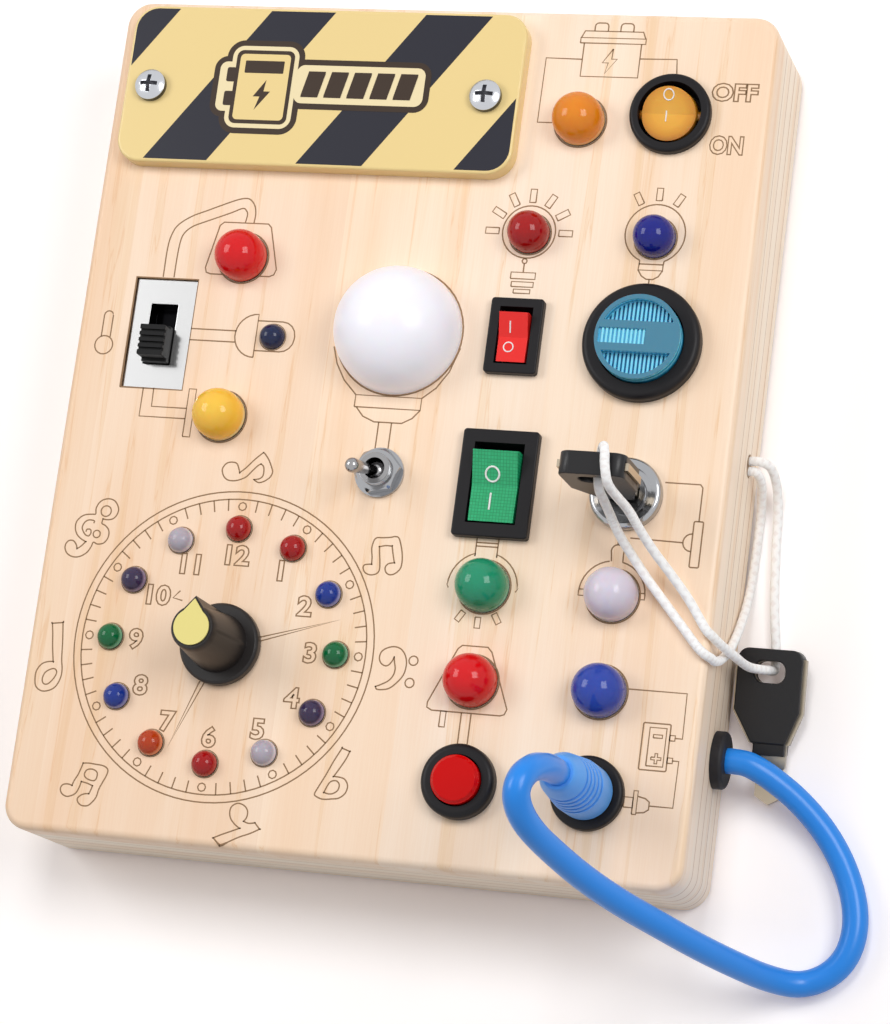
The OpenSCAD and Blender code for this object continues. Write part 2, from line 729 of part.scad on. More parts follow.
module toggle_lever() {
    color(chrome) translate([toggle_at[0], toggle_at[1], toggle_pivot]) rotate([0, 0, toggle_turn])
        rotate([0, toggle_tilt, 0]) {
            sphere(d = ball_d);
            cylinder(h = 4, d = 2);
            translate([0, 0, 4]) cylinder(h = 6, d1 = 2, d2 = 2.9);
            translate([0, 0, 10]) sphere(d = 2.9);
        }
}

// ---- Push button ----

button_foot = 2.4;               // depth of the cap's foot under the face
button_rest = 0.4;               // room left under the foot of the pressed button

module push_frame() {
    color(black) difference() {
        on_face(push_at) {
            soft_ring(14.2, 9.9, 3, 1.2);
            translate([0, 0, -13]) cylinder(h = 13, d = 11.9);
        }
        translate([push_at[0], push_at[1], face - button_foot - push_travel - button_rest])
            cylinder(h = 12, d = 9.9);
        translate([push_at[0], push_at[1], face - 12]) cylinder(h = 12, d = 5.1);
    }
}

module push_button() {
    color("#D9141A") on_face(push_at) {
        translate([0, 0, -button_foot]) cylinder(h = button_foot + 4, d = 9.3);
        translate([0, 0, 3.9]) cylinder(h = 0.7, d1 = 9.3, d2 = 8.1);
        translate([0, 0, -8.6]) cylinder(h = 7, d = 5);
    }
}

// ---- Slide switch ----

slide_sink = 0.7;                // how far the plate lies below the face
plate_t = 0.8;
slot_l = 12.4;
stem_l = slot_l - slide_travel - 0.3;

module slide_frame() {
    color("#E8EAEC") difference() {
        on_face(slide_at) {
            translate([0, 0, -slide_sink - plate_t/2]) cube([13, 22.6, plate_t], center = true);
            translate([0, 0, -6.2]) cube([8, 16, 9.6], center = true);
        }
        on_face(slide_at) translate([0, 0, 2.6]) cube([5.7, slot_l, 14], center = true);
    }
}

// Slide button: a stem in the slot and a ribbed crown
module slide_button() {
    color(black) translate([slide_at[0], slide_at[1] - slide_travel/2, face]) {
        translate([0, 0, -1.5]) cube([5.3, stem_l, 5], center = true);
        difference() {
            translate([0, 0, 2.4]) cube([5.3, 6.2, 3], center = true);
            for (i = [-1.5 : 1.5]) translate([0, i*1.24, 4]) cube([7, 0.5, 1.4], center = true);
        }
    }
}

// ---- Selector dial ----

knob_foot = face + 0.4;
skirt_h = 2.2;
shaft_d = 6;

module selector_switch() {
    color("#2B2B2E") difference() {
        union() {
            translate([dial_at[0], dial_at[1], 10.5]) cylinder(h = panel_under - 10.5, d = 24);
            translate([dial_at[0], dial_at[1], panel_under]) cylinder(h = panel_t + 1.9, d = 7);
        }
        translate([dial_at[0], dial_at[1], 14]) cylinder(h = 20, d = shaft_d + 2*slip);
    }
}

// Shaft with a flat along its upper half
module selector_shaft() {
    color(chrome) translate([dial_at[0], dial_at[1], 0]) difference() {
        translate([0, 0, 14.5]) cylinder(h = face + 14 - 14.5, d = shaft_d);
        translate([1.5, -5, face + 4]) cube([5, 10, 20]);
    }
}

// Three-sided point on a round bar of radius r, towards twelve o'clock
module pointer(r, tip, h) {
    shoulder = 0.95*r*[sin(acos(r/tip)), r/tip];
    linear_extrude(h) polygon([[0, tip], shoulder, [-shoulder[0], shoulder[1]]]);
}

module selector_knob() {
    color(black) translate([dial_at[0], dial_at[1], 0]) difference() {
        union() {
            translate([0, 0, knob_foot]) cylinder(h = skirt_h - 0.5, d = knob_skirt_d);
            translate([0, 0, knob_foot + skirt_h - 0.5])
                cylinder(h = 0.5, d1 = knob_skirt_d, d2 = knob_skirt_d - 1);
            translate([0, 0, knob_foot + skirt_h])
                cylinder(h = face + knob_h - 1 - knob_foot - skirt_h, d1 = 11.6, d2 = 8.6);
            translate([0, 0, face + knob_h - 1]) cylinder(h = 0.6, d1 = 8.6, d2 = 8);
            translate([0, 0, knob_foot + skirt_h - 0.2])
                pointer(4, 6, face + knob_h - 0.4 - knob_foot - skirt_h + 0.2);
        }
        translate([0, 0, face - 1]) cylinder(h = 3.1, d = 11.8);
        difference() {
            translate([0, 0, face + 2]) cylinder(h = 12, d = shaft_d);
            translate([1.5, -5, face + 4]) cube([5, 10, 20]);
        }
    }
}

module knob_cap() {
    color("#E6D873") translate([dial_at[0], dial_at[1], face + knob_h - 0.4]) {
        cylinder(h = 0.4, r = 3.5);
        pointer(3.5, 5.4, 0.4);
    }
}

// ---- Lock and keys ----

module lock_barrel() {
    color(chrome) difference() {
        on_face(lock_at) {
            soft_ring(lock_d, core_d + 2*slip, 2.2, 1);
            translate([0, 0, -13]) cylinder(h = 13, d = 11.9);
        }
        translate([lock_at[0], lock_at[1], 15.5]) cylinder(h = 30, d = core_d + 2*slip);
        translate([lock_at[0], lock_at[1], face + 1.2]) cylinder(h = 4, d = 10.4);
    }
}

module lock_core() {
    color("#A9ABA8") difference() {
        translate([lock_at[0], lock_at[1], 16]) cylinder(h = core_face - 16, d = core_d);
        translate([lock_at[0], lock_at[1], key_shoulder - key_blade_l - 0.5])
            linear_extrude(20) square([blade_w + 0.5, blade_t + 0.4], center = true);
    }
}

// Flat outline of a key's head with its tapered neck, grown by g all round
module head_outline(g = 0) {
    l = key_head_l;
    left = head_shift - key_head_w/2 - g;
    right = head_shift + key_head_w/2 + g;
    translate([head_shift, key_neck_l + l/2 + 2.5])
        round_rect(key_head_w + 2*g, l - 5 + 2*g, 2.2 + g);
    polygon([[left, key_neck_l + 9], [left, key_neck_l + 6.2 - 0.28*g], [-4 - 1.2*g, key_neck_l],
             [2.6 + 1.2*g, key_neck_l], [right, key_neck_l + 6.2 - 0.28*g], [right, key_neck_l + 9]]);
}

module eye_outline() {
    translate([head_shift, key_neck_l + key_head_l - eye[2] - eye[1]/2])
        round_rect(eye[0], eye[1], 1.8);
}

// Steel plate inside the plastic head: its edge shows at the sides, its window keys the plastic
module bow_outline() {
    difference() {
        head_outline(0.5);
        translate([0, key_neck_l + key_head_l]) square([3*key_head_w, 2*bow_drop], center = true);
        translate([head_shift, key_neck_l + 8]) square([5, 5], center = true);
        eye_outline();
    }
}

// Key in its own frame: x across, y through its thickness, z from the shoulder to the head end
module key_head() {
    rotate([90, 0, 0]) difference() {
        union() {
            linear_extrude(key_head_t, center = true) head_outline();
            linear_extrude(key_head_t - 0.8, center = true) translate([-3.6, 0.8]) square([6.2, 4]);
        }
        linear_extrude(2*key_head_t, center = true) eye_outline();
        linear_extrude(blade_t, center = true) bow_outline();
        translate([-blade_w/2, -1, -blade_t/2]) cube([blade_w, 1 + key_neck_l + 2, blade_t]);
    }
}

// Blade with a pointed tip and cuts along one edge, in one piece with the plate in the head
module key_blade() {
    rotate([90, 0, 0]) linear_extrude(blade_t, center = true) {
        bow_outline();
        difference() {
            polygon([[-blade_w/2, key_neck_l + 2], [-blade_w/2, -key_blade_l + 1.6],
                     [0, -key_blade_l], [blade_w/2, -key_blade_l + 1.6], [blade_w/2, key_neck_l + 2]]);
            for (i = [0 : 3]) translate([blade_w/2, -1.8 - 1.9*i])
                polygon([[-0.5 - 0.35*(i % 2), 0], [0.1, 0.7], [0.1, -0.7]]);
        }
    }
}

module in_lock() {
    translate([lock_at[0], lock_at[1], key_shoulder]) children();
}

// The spare key lies flat: its tip is on the table and the string lifts its head end
module on_table() {
    reach = key_neck_l + key_head_l;
    drop = (key_head_t - blade_t)/2;
    lift = (reach + key_blade_l)*sin(spare_tilt) - drop*cos(spare_tilt);
    translate([spare_at[0] - head_shift, spare_at[1], lift + 0.05]) rotate([spare_tilt, 0, 0])
        translate([0, -reach, key_head_t/2]) rotate([-90, 0, 0]) children();
}

module lock_key_head() { color(black) in_lock() key_head(); }
module lock_key_blade() { color(steel) in_lock() key_blade(); }
module spare_key_head() { color(black) on_table() key_head(); }
module spare_key_blade() { color(steel) on_table() key_blade(); }

// ---- Strings and cord ----

module string_from_hole() { color("#F4F2F0") tube(string_hole_route, string_d, 8); }
module string_through_key() { color("#F4F2F0") tube(string_key_route, string_d, 8); }
module string_to_spare_key() { color("#F4F2F0") tube(string_spare_route, string_d, 8); }
module blue_cord() { color("#2F7FD6") tube(blue_route, cord_d, 12, [1, 0, 0]); }

module side_grommet() {
    color(black) translate([case_w/2, grommet_at[0], grommet_at[1]]) rotate([0, 90, 0]) difference() {
        union() {
            rotate_extrude() {
                square([5.5 - 0.8, 2.3]);
                translate([0, 0]) square([5.5, 1.5]);
                translate([4.7, 1.5]) circle(0.8, $fn = 24);
            }
            translate([0, 0, -wall_t]) cylinder(h = wall_t + 0.5, d = 8.1);
            translate([0, 0, -wall_t - 1.5]) cylinder(h = 1.5, d = 9.6);
        }
        translate([0, 0, -20]) cylinder(h = 30, d = cord_d);
    }
}

module socket() {
    color(black) difference() {
        on_face(socket_at) {
            soft_ring(14, pin_d + 2*slip, 2, 0.8);
            translate([0, 0, -13]) cylinder(h = 13, d = 10.9);
        }
        translate([socket_at[0], socket_at[1], pin_foot - 0.5]) cylinder(h = 30, d = pin_d + 2*slip);
    }
    color(chrome) translate([socket_at[0], socket_at[1], pin_foot - 1]) cylinder(h = 9, d = 2);
}

// Moulded plug body: straight grip, ribbed taper and the mouth that the cord leaves
module plug() {
    groove_n = 5;
    groove_pitch = 2.1;
    grip = 7;
    length = plug_top - plug_base;
    taper_l = groove_n*groove_pitch;
    color("#4C8FDD") translate([socket_at[0], socket_at[1], plug_base]) difference() {
        rotate_extrude() difference() {
            union() {
                square([plug_d/2 - 0.6, grip]);
                translate([0, 0.6]) square([plug_d/2, grip - 0.6]);
                translate([plug_d/2 - 0.6, 0.6]) circle(0.6, $fn = 24);
                polygon([[0, grip], [plug_d/2, grip], [plug_d/2 - 0.9, grip + taper_l],
                         [3.3, length - 0.4], [3, length], [0, length]]);
            }
            for (i = [0 : groove_n - 1]) translate([plug_d/2 - 0.75 - 0.16*i, grip + 1 + i*groove_pitch])
                square([2, 0.9]);
        }
        translate([0, 0, -1]) cylinder(h = 5, d = pin_d);
    }
}

module plug_pin() {
    color(chrome) translate([socket_at[0], socket_at[1], pin_foot]) difference() {
        cylinder(h = plug_base + 4 - pin_foot, d = pin_d);
        translate([0, 0, -1]) cylinder(h = 11, d = 2.5);
    }
}

face_panel();
case_frame();
back_panel();
back_screws();
sign_plate();
sign_screws();
battery_tray();
battery_cells();
battery_contacts();
small_lamps_red();
small_lamps_blue();
small_lamps_green();
small_lamps_purple();
small_lamps_clear();
small_lamp_orange();
large_lamps_red();
large_lamp_yellow();
large_lamp_amber();
large_lamp_green();
large_lamp_white();
large_lamp_blue();
medium_lamp_red();
medium_lamp_blue();
dome_lens();
dome_lamp_board();
terminals();
wiring_loom();
panel_nuts();
amber_rocker_frame();
amber_rocker();
red_rocker_frame();
red_rocker();
green_rocker_frame();
green_rocker();
rotary_frame();
rotary_knob();
toggle_body();
toggle_lever();
push_frame();
push_button();
slide_frame();
slide_button();
selector_switch();
selector_shaft();
selector_knob();
knob_cap();
lock_barrel();
lock_core();
lock_key_head();
lock_key_blade();
spare_key_head();
spare_key_blade();
string_from_hole();
string_through_key();
string_to_spare_key();
socket();
plug();
plug_pin();
blue_cord();
side_grommet();
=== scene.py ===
# %% [markdown]
# # A wooden busy board
# The real toy is a shallow pine box that lies on its back. Its face carries small electrical
# switches, coloured lamps, a key switch, a plug on a short cord and a dial, and thin burnt
# lines join them like a child's circuit diagram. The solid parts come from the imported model, so
# this script only dresses them: it gives each one its finish and adds what a modeller would
# call surface detail, such as the burnt lines, the printed stripes and the cords.
#
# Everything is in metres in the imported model's own frame: +X to the right of the face, +Y to its
# top edge, +Z out of the face. Lengths below are written in millimetres and scaled by `mm`,
# because that is how such an object is drawn.

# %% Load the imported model
import json
import math

import bmesh
import bpy
from mathutils import Matrix, Vector
from mathutils.bvhtree import BVHTree

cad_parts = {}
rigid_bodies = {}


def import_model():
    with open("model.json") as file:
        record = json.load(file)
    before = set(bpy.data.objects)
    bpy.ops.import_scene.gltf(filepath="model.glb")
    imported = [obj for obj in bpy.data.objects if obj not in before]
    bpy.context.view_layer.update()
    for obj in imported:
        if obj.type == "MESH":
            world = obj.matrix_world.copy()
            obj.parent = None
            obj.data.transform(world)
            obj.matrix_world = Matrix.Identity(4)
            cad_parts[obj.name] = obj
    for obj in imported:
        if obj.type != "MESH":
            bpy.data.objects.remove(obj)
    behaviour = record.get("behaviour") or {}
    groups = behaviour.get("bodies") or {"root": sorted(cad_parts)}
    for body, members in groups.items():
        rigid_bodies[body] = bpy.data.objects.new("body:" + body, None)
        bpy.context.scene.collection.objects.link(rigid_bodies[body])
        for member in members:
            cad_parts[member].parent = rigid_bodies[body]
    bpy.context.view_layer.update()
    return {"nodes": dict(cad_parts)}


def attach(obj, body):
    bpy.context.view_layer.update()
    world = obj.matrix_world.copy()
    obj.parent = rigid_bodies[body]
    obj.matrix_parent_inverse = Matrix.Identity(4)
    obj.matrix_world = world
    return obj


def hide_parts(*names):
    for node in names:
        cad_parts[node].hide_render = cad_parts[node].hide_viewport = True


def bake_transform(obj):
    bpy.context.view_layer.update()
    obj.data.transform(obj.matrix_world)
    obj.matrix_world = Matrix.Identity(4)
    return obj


for leftover in list(bpy.data.objects):
    bpy.data.objects.remove(leftover)

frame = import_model()
cad = frame["nodes"]
mm = 0.001
# Height of the face over the table, in mm
FACE = 27.0

# %% [markdown]
# ## The camera
# The photograph was taken from above the lower right corner with a long lens. A camera fitted to
# the outlines of the case and its round bezels gives the place, the turn and the lens below.
# The three axes are written as the columns of the camera's own matrix, which is exact and needs
# no angles.

# %% Camera
camera_place = Vector((0.20480, -0.15454, 0.64323))
camera_right = Vector((0.95480451, 0.12962379, -0.26748088))
camera_up = Vector((-0.06524315, 0.96934989, 0.23686311))
camera_back = Vector((0.28998565, -0.20870667, 0.93399671))

camera_data = bpy.data.cameras.new("photo_camera")
camera_data.lens = 121.7
camera_data.sensor_width = 36
camera = bpy.data.objects.new("photo_camera", camera_data)
camera.matrix_world = Matrix((camera_right, camera_up, camera_back)).transposed().to_4x4()
camera.matrix_world.translation = camera_place
bpy.context.scene.collection.objects.link(camera)
bpy.context.scene.camera = camera
print("camera at", [round(v, 3) for v in camera.matrix_world.translation])

# %% [markdown]
# ## Small helpers
# Colours are easiest to pick as sRGB hex values, but shaders work in linear light, so one
# function turns one into the other. Another adds a shader node of any kind and fills its inputs
# with values, colours or other nodes' results, which keeps each material readable from top to
# bottom. The last two count a pattern in millimetres and join it to its shader.


# %% Colour and node helpers
def linear(hex_code):
    """An sRGB hex colour as the linear values that a shader expects."""
    parts = [int(hex_code[i : i + 2], 16) / 255 for i in (1, 3, 5)]
    light = [c / 12.92 if c <= 0.04045 else ((c + 0.055) / 1.055) ** 2.4 for c in parts]
    return (*light, 1.0)


def add(tree, kind, inputs=None, stops=(), interpolation="LINEAR", **settings):
    """Adds one node. An input takes a socket to link, a hex colour or a value. Settings are the
    node's own properties, and stops are a colour ramp's (position, hex colour)."""
    made = tree.nodes.new("ShaderNode" + kind)
    for name, value in settings.items():
        setattr(made, name, value)
    for name, value in (inputs or {}).items():
        if isinstance(value, bpy.types.NodeSocket):
            tree.links.new(value, made.inputs[name])
        else:
            made.inputs[name].default_value = linear(value) if isinstance(value, str) else value
    if stops:
        ends = (stops[0], stops[-1])
        made.color_ramp.interpolation = interpolation
        for element, (position, colour) in zip(made.color_ramp.elements, ends):
            element.position, element.color = position, linear(colour)
        for position, colour in stops[1:-1]:
            made.color_ramp.elements.new(position).color = linear(colour)
    return made


def finish_of(name, colour, roughness, **values):
    """A Principled material of one plain colour, and its node tree and shader for more work."""
    made = bpy.data.materials.new(name)
    made.use_nodes = True
    shader = made.node_tree.nodes["Principled BSDF"]
    shader.inputs["Base Color"].default_value = linear(colour)
    shader.inputs["Roughness"].default_value = roughness
    for socket, value in values.items():
        shader.inputs[socket.replace("_", " ")].default_value = value
    made.diffuse_color = linear(colour)
    return made, made.node_tree, shader


def in_mm(tree, stretch=(1, 1, 1)):
    """Object coordinates counted in millimetres, with an optional stretch along each axis."""
    place = add(tree, "TexCoord").outputs["Object"]
    scale = tuple(s / mm for s in stretch)
    return add(tree, "Mapping", {"Scale": scale, "Vector": place}).outputs[0]


def join_pattern(tree, shader, colour=None, height=None, depth_mm=0.0, strength=1.0):
    """Links a colour pattern, and a bump of a real depth from a height between 0 and 1."""
    if colour is not None:
        tree.links.new(colour, shader.inputs["Base Color"])
    if height is not None:
        depth = {"Distance": depth_mm * mm, "Strength": strength, "Height": height}
        tree.links.new(add(tree, "Bump", depth).outputs[0], shader.inputs["Normal"])


print("helpers ready; mid grey is", round(linear("#808080")[0], 3))

# %% [markdown]
# ## Lamps
# The photograph is a catalogue picture with two large softboxes, one on each side, which leave
# two soft upright highlights on every round lamp. Their directions were read from those
# highlights. A third light from beyond the top edge gives the soft shadow below the lower edge,
# and doesn't show in reflections. Area lamps are used because their size sets how soft a shadow
# and how large a highlight is.


# %% Softboxes
def softbox(name, direction, distance, width, height, watts, mirrored=True):
    """A rectangular lamp that looks at the middle of the board. Its width lies along Y."""
    data = bpy.data.lights.new(name, "AREA")
    data.shape, data.size, data.size_y, data.energy = "RECTANGLE", width, height, watts
    lamp = bpy.data.objects.new(name, data)
    away = Vector(direction).normalized()
    lamp.rotation_mode = "QUATERNION"
    lamp.rotation_quaternion = away.to_track_quat("Z", "Y")
    lamp.location = away * distance
    lamp.visible_glossy = mirrored
    bpy.context.scene.collection.objects.link(lamp)


softbox("softbox_left", (-0.68, 0.17, 0.71), 0.9, 0.45, 0.36, 2.3)
softbox("softbox_right", (0.63, 0.18, 0.76), 0.9, 0.45, 0.36, 2.95)
softbox("softbox_top", (0.03, 0.35, 0.94), 1.1, 0.3, 0.5, 3.7, mirrored=False)
print("three softboxes")

# %% [markdown]
# ## White surround
# The surround is white for the camera, for reflections and for light through clear parts, and a
# quarter as bright as a source of light, so that a colour renders about as it is written. The
# table is matt white paper. It glows a little for the camera alone, so that it is white where it
# is lit and still shows the board's shadow.

# %% World and table
LIGHT_LEVEL = 0.24
BACKDROP_LEVEL = 1.0
TABLE_GLOW = 0.16
TABLE_HALF = 3

world = bpy.data.worlds.new("white_surround")
bpy.context.scene.world = world
world.use_nodes = True
sky = world.node_tree
sky.nodes.clear()
path = add(sky, "LightPath").outputs
seen = add(
    sky, "Math", {0: path["Is Camera Ray"], 1: path["Is Glossy Ray"]}, operation="MAXIMUM"
).outputs[0]
seen = add(sky, "Math", {0: seen, 1: path["Is Transmission Ray"]}, operation="MAXIMUM").outputs[0]
as_light = add(sky, "Background", {"Color": "#FFFFFF", "Strength": LIGHT_LEVEL}).outputs[0]
as_backdrop = add(sky, "Background", {"Color": "#FFFFFF", "Strength": BACKDROP_LEVEL}).outputs[0]
surround = add(sky, "MixShader", {0: seen, 1: as_light, 2: as_backdrop}).outputs[0]
add(sky, "OutputWorld", {"Surface": surround})

table_finish, tree, shader = finish_of(
    "matt_white_table", "#FFFEFE", 0.9, Emission_Color=linear("#FFE5DD")
)
ray = add(tree, "LightPath").outputs["Is Camera Ray"]
glow = add(tree, "Math", {0: ray, 1: TABLE_GLOW}, operation="MULTIPLY").outputs[0]
tree.links.new(glow, shader.inputs["Emission Strength"])

table = bmesh.new()
bmesh.ops.create_grid(table, x_segments=1, y_segments=1, size=TABLE_HALF)
# The table lies a hair below the case, so that the two don't flicker.
bmesh.ops.translate(table, verts=table.verts, vec=(0, 0, -0.1 * mm))
table_mesh = bpy.data.meshes.new("table_top")
table.to_mesh(table_mesh)
table.free()
table_mesh.materials.append(table_finish)
table_top = bpy.data.objects.new("table_top", table_mesh)
bpy.context.scene.collection.objects.link(table_top)
bpy.context.scene.view_settings.view_transform = "Standard"
print("stage: a white table in a white surround")

# %% [markdown]
# ## Routes of the cords
# Two flexible things hang on the board. A short blue lead runs from the plug in the face, over
# the lower edge and back into the right-hand side. A white string leaves that side higher up,
# goes through the eye of the key in the lock and the eye of a spare key, and returns. Their
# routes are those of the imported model. Where the model has a few straight runs, a smooth curve
# through the same points gives the real lie, so the length stays the same to a fraction of a
# millimetre.


# %% Routes in millimetres
def smooth(points, steps=5):
    """A Catmull-Rom curve through the points, in metres."""
    p = [Vector(q) * mm for q in points]
    p = [2 * p[0] - p[1]] + p + [2 * p[-1] - p[-2]]
    line = []
    for a, b, c, d in zip(p, p[1:], p[2:], p[3:]):
        for i in range(steps):
            t = i / steps
            squared = (2 * a - 5 * b + 4 * c - d) * t * t
            cubed = (3 * b - a - 3 * c + d) * t**3
            line.append(0.5 * (2 * b + (c - a) * t + squared + cubed))
    return line + [p[-2]]


def length_of(line):
    return sum((b - a).length for a, b in zip(line, line[1:]))


BLUE_ROUTE = smooth([
    (48.1, -68.2, 51), (48.1, -68.2, 52.6), (48, -68.3, 56), (47.5, -68.7, 60),
    (46.6, -69.8, 63.6), (45.7, -72, 66), (45.3, -74.8, 66.2), (45.8, -77.6, 64),
    (47.3, -80.2, 60), (50, -82.8, 54), (54, -85.8, 46.5), (59, -88.6, 38.5),
    (65, -91.2, 30), (71, -93.6, 21.5), (76.5, -95.4, 13.5), (81.5, -96.6, 7),
    (86.5, -96.8, 3.4), (91, -95, 2.5), (94.4, -91.4, 2.5), (95.8, -86.4, 2.5),
    (95.2, -80.6, 2.5), (92.6, -74.2, 2.5), (88.6, -68.2, 3.4), (83.6, -63.2, 5.6),
    (78.4, -59.6, 8), (74.2, -57.6, 9.6), (71.4, -57.2, 10), (69.8, -57.2, 10),
    (67.5, -57.2, 10),
])
HOLE_ROUTE = smooth([
    (67.5, -1, 10), (69, -1.2, 9.8), (69.7, -2.5, 7.4), (69.3, -5, 3.6), (69, -8.6, 1.2),
    (68.9, -13, 0.95), (68.8, -17.5, 0.95), (68.7, -22, 1.3), (68.6, -26, 3),
    (68.6, -30, 6), (68.6, -34, 10), (68.6, -37.5, 15), (68.6, -40, 20.6),
    (68.6, -41.2, 25.2), (68.1, -41, 27.1), (66.9, -40.4, 28.1), (65.3, -39, 28.1),
    (62.4, -35.8, 28.05), (58.8, -31.8, 28.3), (55.2, -27.7, 29.6), (52.4, -24.1, 31.7),
    (50.5, -21.4, 34.5), (49.34, -19.2, 37), (48.99, -18.35, 38),
])
KEY_ROUTE = smooth([
    (48.99, -18.35, 38), (48.64, -17.5, 39), (48, -15.7, 42.3), (47.75, -14.75, 44.7),
    (47.7, -13, 46.4), (47.7, -11.2, 46.6), (47.8, -9.5, 46.8), (48.3, -7.7, 48.4),
    (49, -7.75, 50.4), (49.5, -8.3, 51.9), (49.9, -9.6, 52.4), (50.1, -11.2, 52.5),
    (50.4, -12.8, 52.45), (50.7, -14.3, 51.8), (51, -15.3, 50.1), (51.5, -16, 46.5),
    (52.3, -16.8, 42), (53.01, -17.74, 40.13), (53.4, -18.4, 39.2),
])
SPARE_ROUTE = smooth([
    (53.4, -18.4, 39.2), (53.79, -19.06, 38.27), (54.9, -20.8, 36), (56.8, -23.3, 33.4),
    (59.8, -26.7, 30.8), (63, -30.5, 29), (65.3, -33.8, 28.2), (66.9, -36, 28.1),
    (68.1, -37, 27.1), (68.9, -37.7, 25), (69.7, -38.2, 22), (70.7, -38.7, 18),
    (71.2, -38.9, 13.4), (72, -39, 9.9), (73.5, -38.9, 8), (74.9, -38.7, 6.6),
    (75.3, -38.4, 4.6), (75.3, -37.8, 2.4), (75.1, -36.5, 1.15), (74.9, -34, 0.95),
    (74.2, -29.5, 0.95), (73.5, -24.5, 0.95), (73, -19, 0.95), (72.6, -13.5, 0.95),
    (72.4, -9, 1), (72.3, -5.2, 2.2), (72.1, -1.8, 5), (71.3, 0.4, 8.2),
    (69.6, 1, 9.9), (67.5, 1, 10),
])
for label, line in (("lead", BLUE_ROUTE), ("string, part 1", HOLE_ROUTE),
                    ("string, part 2", KEY_ROUTE), ("string, part 3", SPARE_ROUTE)):
    print(label, round(length_of(line) / mm, 1), "mm")

# %% [markdown]
# ## Cord finishes
# The lead is soft PVC: an even blue with a wide, soft shine. The string is braided cotton, bright
# white, and its braid shows as short slanting stitches. The stitches follow the cord, so they
# read the tube's own UV map, which counts millimetres along it.


# %% PVC and braided string
def braid_height(tree, stitch_mm, stitches_round):
    """Two sets of slanting ridges that cross, as the strands of a braid do."""
    place = add(tree, "UVMap").outputs[0]
    heights = []
    for slant in (1, -1):
        scale = (1 / stitch_mm, slant * stitches_round, 1)
        across = add(tree, "Mapping", {"Scale": scale, "Vector": place}).outputs[0]
        # At this scale one band of the wave texture is one unit wide.
        ridges = add(
            tree, "TexWave", {"Scale": 0.3142, "Vector": across},
            wave_type="BANDS", bands_direction="DIAGONAL",
        )
        heights.append(ridges.outputs["Fac"])
    return add(tree, "Math", {0: heights[0], 1: heights[1]}, operation="MAXIMUM").outputs[0]


# Extruded PVC comes out of its die smooth: an even colour with a broad shine.
blue_pvc, _, _ = finish_of("extruded_blue_pvc", "#1C88E9", 0.3, Specular_IOR_Level=0.5)

# Braided cotton is matt. Its strands are brighter, and the gaps between them are painted a little
# darker, as painted shade.
STITCH_MM, STITCHES_ROUND = 0.9, 4
cotton_braid, tree, shader = finish_of("braided_white_cotton", "#F6F3F2", 0.85)
strands = braid_height(tree, STITCH_MM, STITCHES_ROUND)
white = add(tree, "ValToRGB", {"Fac": strands}, [(0.30, "#F5F1EF"), (0.75, "#FEFDFC")]).outputs[0]
join_pattern(tree, shader, white, strands, 0.035)
print("cord finishes ready")

# %% [markdown]
# ## Tubes from curves
# A bevelled curve is the simplest way to make a tube of even thickness along a route. It is
# turned into a mesh at once, because a cord that bends with the key or the plug has to be a
# mesh. The same two functions serve the burnt lines and the marks on the rockers later.


# %% Curves and meshes
def mesh_of(maker, name):
    """Turns a curve or text object into a mesh object at the origin and removes the maker."""
    graph = bpy.context.evaluated_depsgraph_get()
    data = bpy.data.meshes.new_from_object(maker.evaluated_get(graph))
    data.transform(maker.matrix_world)
    bpy.data.objects.remove(maker)
    made = bpy.data.objects.new(name, data)
    data.name = name
    bpy.context.scene.collection.objects.link(made)
    return made


def curve_object(name, lines, radius, roundness=1):
    """A bevelled curve with one straight-sided spline for each line of points."""
    data = bpy.data.curves.new(name, "CURVE")
    data.dimensions = "3D"
    data.bevel_depth = radius
    data.bevel_resolution = roundness
    data.use_fill_caps = True
    for line in lines:
        spline = data.splines.new("POLY")
        spline.points.add(len(line) - 1)
        for point, place in zip(spline.points, line):
            point.co = (*place, 1)
    made = bpy.data.objects.new(name, data)
    bpy.context.scene.collection.objects.link(made)
    bpy.context.view_layer.update()
    return made


def smooth_shaded(made):
    made.data.polygons.foreach_set("use_smooth", [True] * len(made.data.polygons))


print("tube helpers ready")

# %% [markdown]
# ### The cords
# The lead and the three lengths of string differ only in their route, their finish and the two
# bodies that they hang between, so one table holds them. Each stands in for the plain tube of
# the imported model.


# %% Cords
def cord_tube(name, line, diameter, finish, node):
    """The tube of a cord, with its UV map counted in millimetres along it."""
    made = mesh_of(curve_object(name, [line], diameter / 2, roundness=4), name)
    corners = made.data.uv_layers[0].data
    places = [corner.uv[:] for corner in corners]
    # The map has far more different values along the tube than round it.
    values = [len({round(place[axis], 4) for place in places}) for axis in (0, 1)]
    along = values.index(max(values))
    span = length_of(line) / mm
    for corner, place in zip(corners, places):
        corner.uv = (place[along] * span, place[1 - along])
    made.data.materials.clear()
    made.data.materials.append(finish)
    smooth_shaded(made)
    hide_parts(node)
    return made


CORD_D, STRING_D = 5 * mm, 1.8 * mm
LEAD = (CORD_D, blue_pvc, "cord_blue", "medium")
STRING = (STRING_D, cotton_braid, "string_white", "limp")
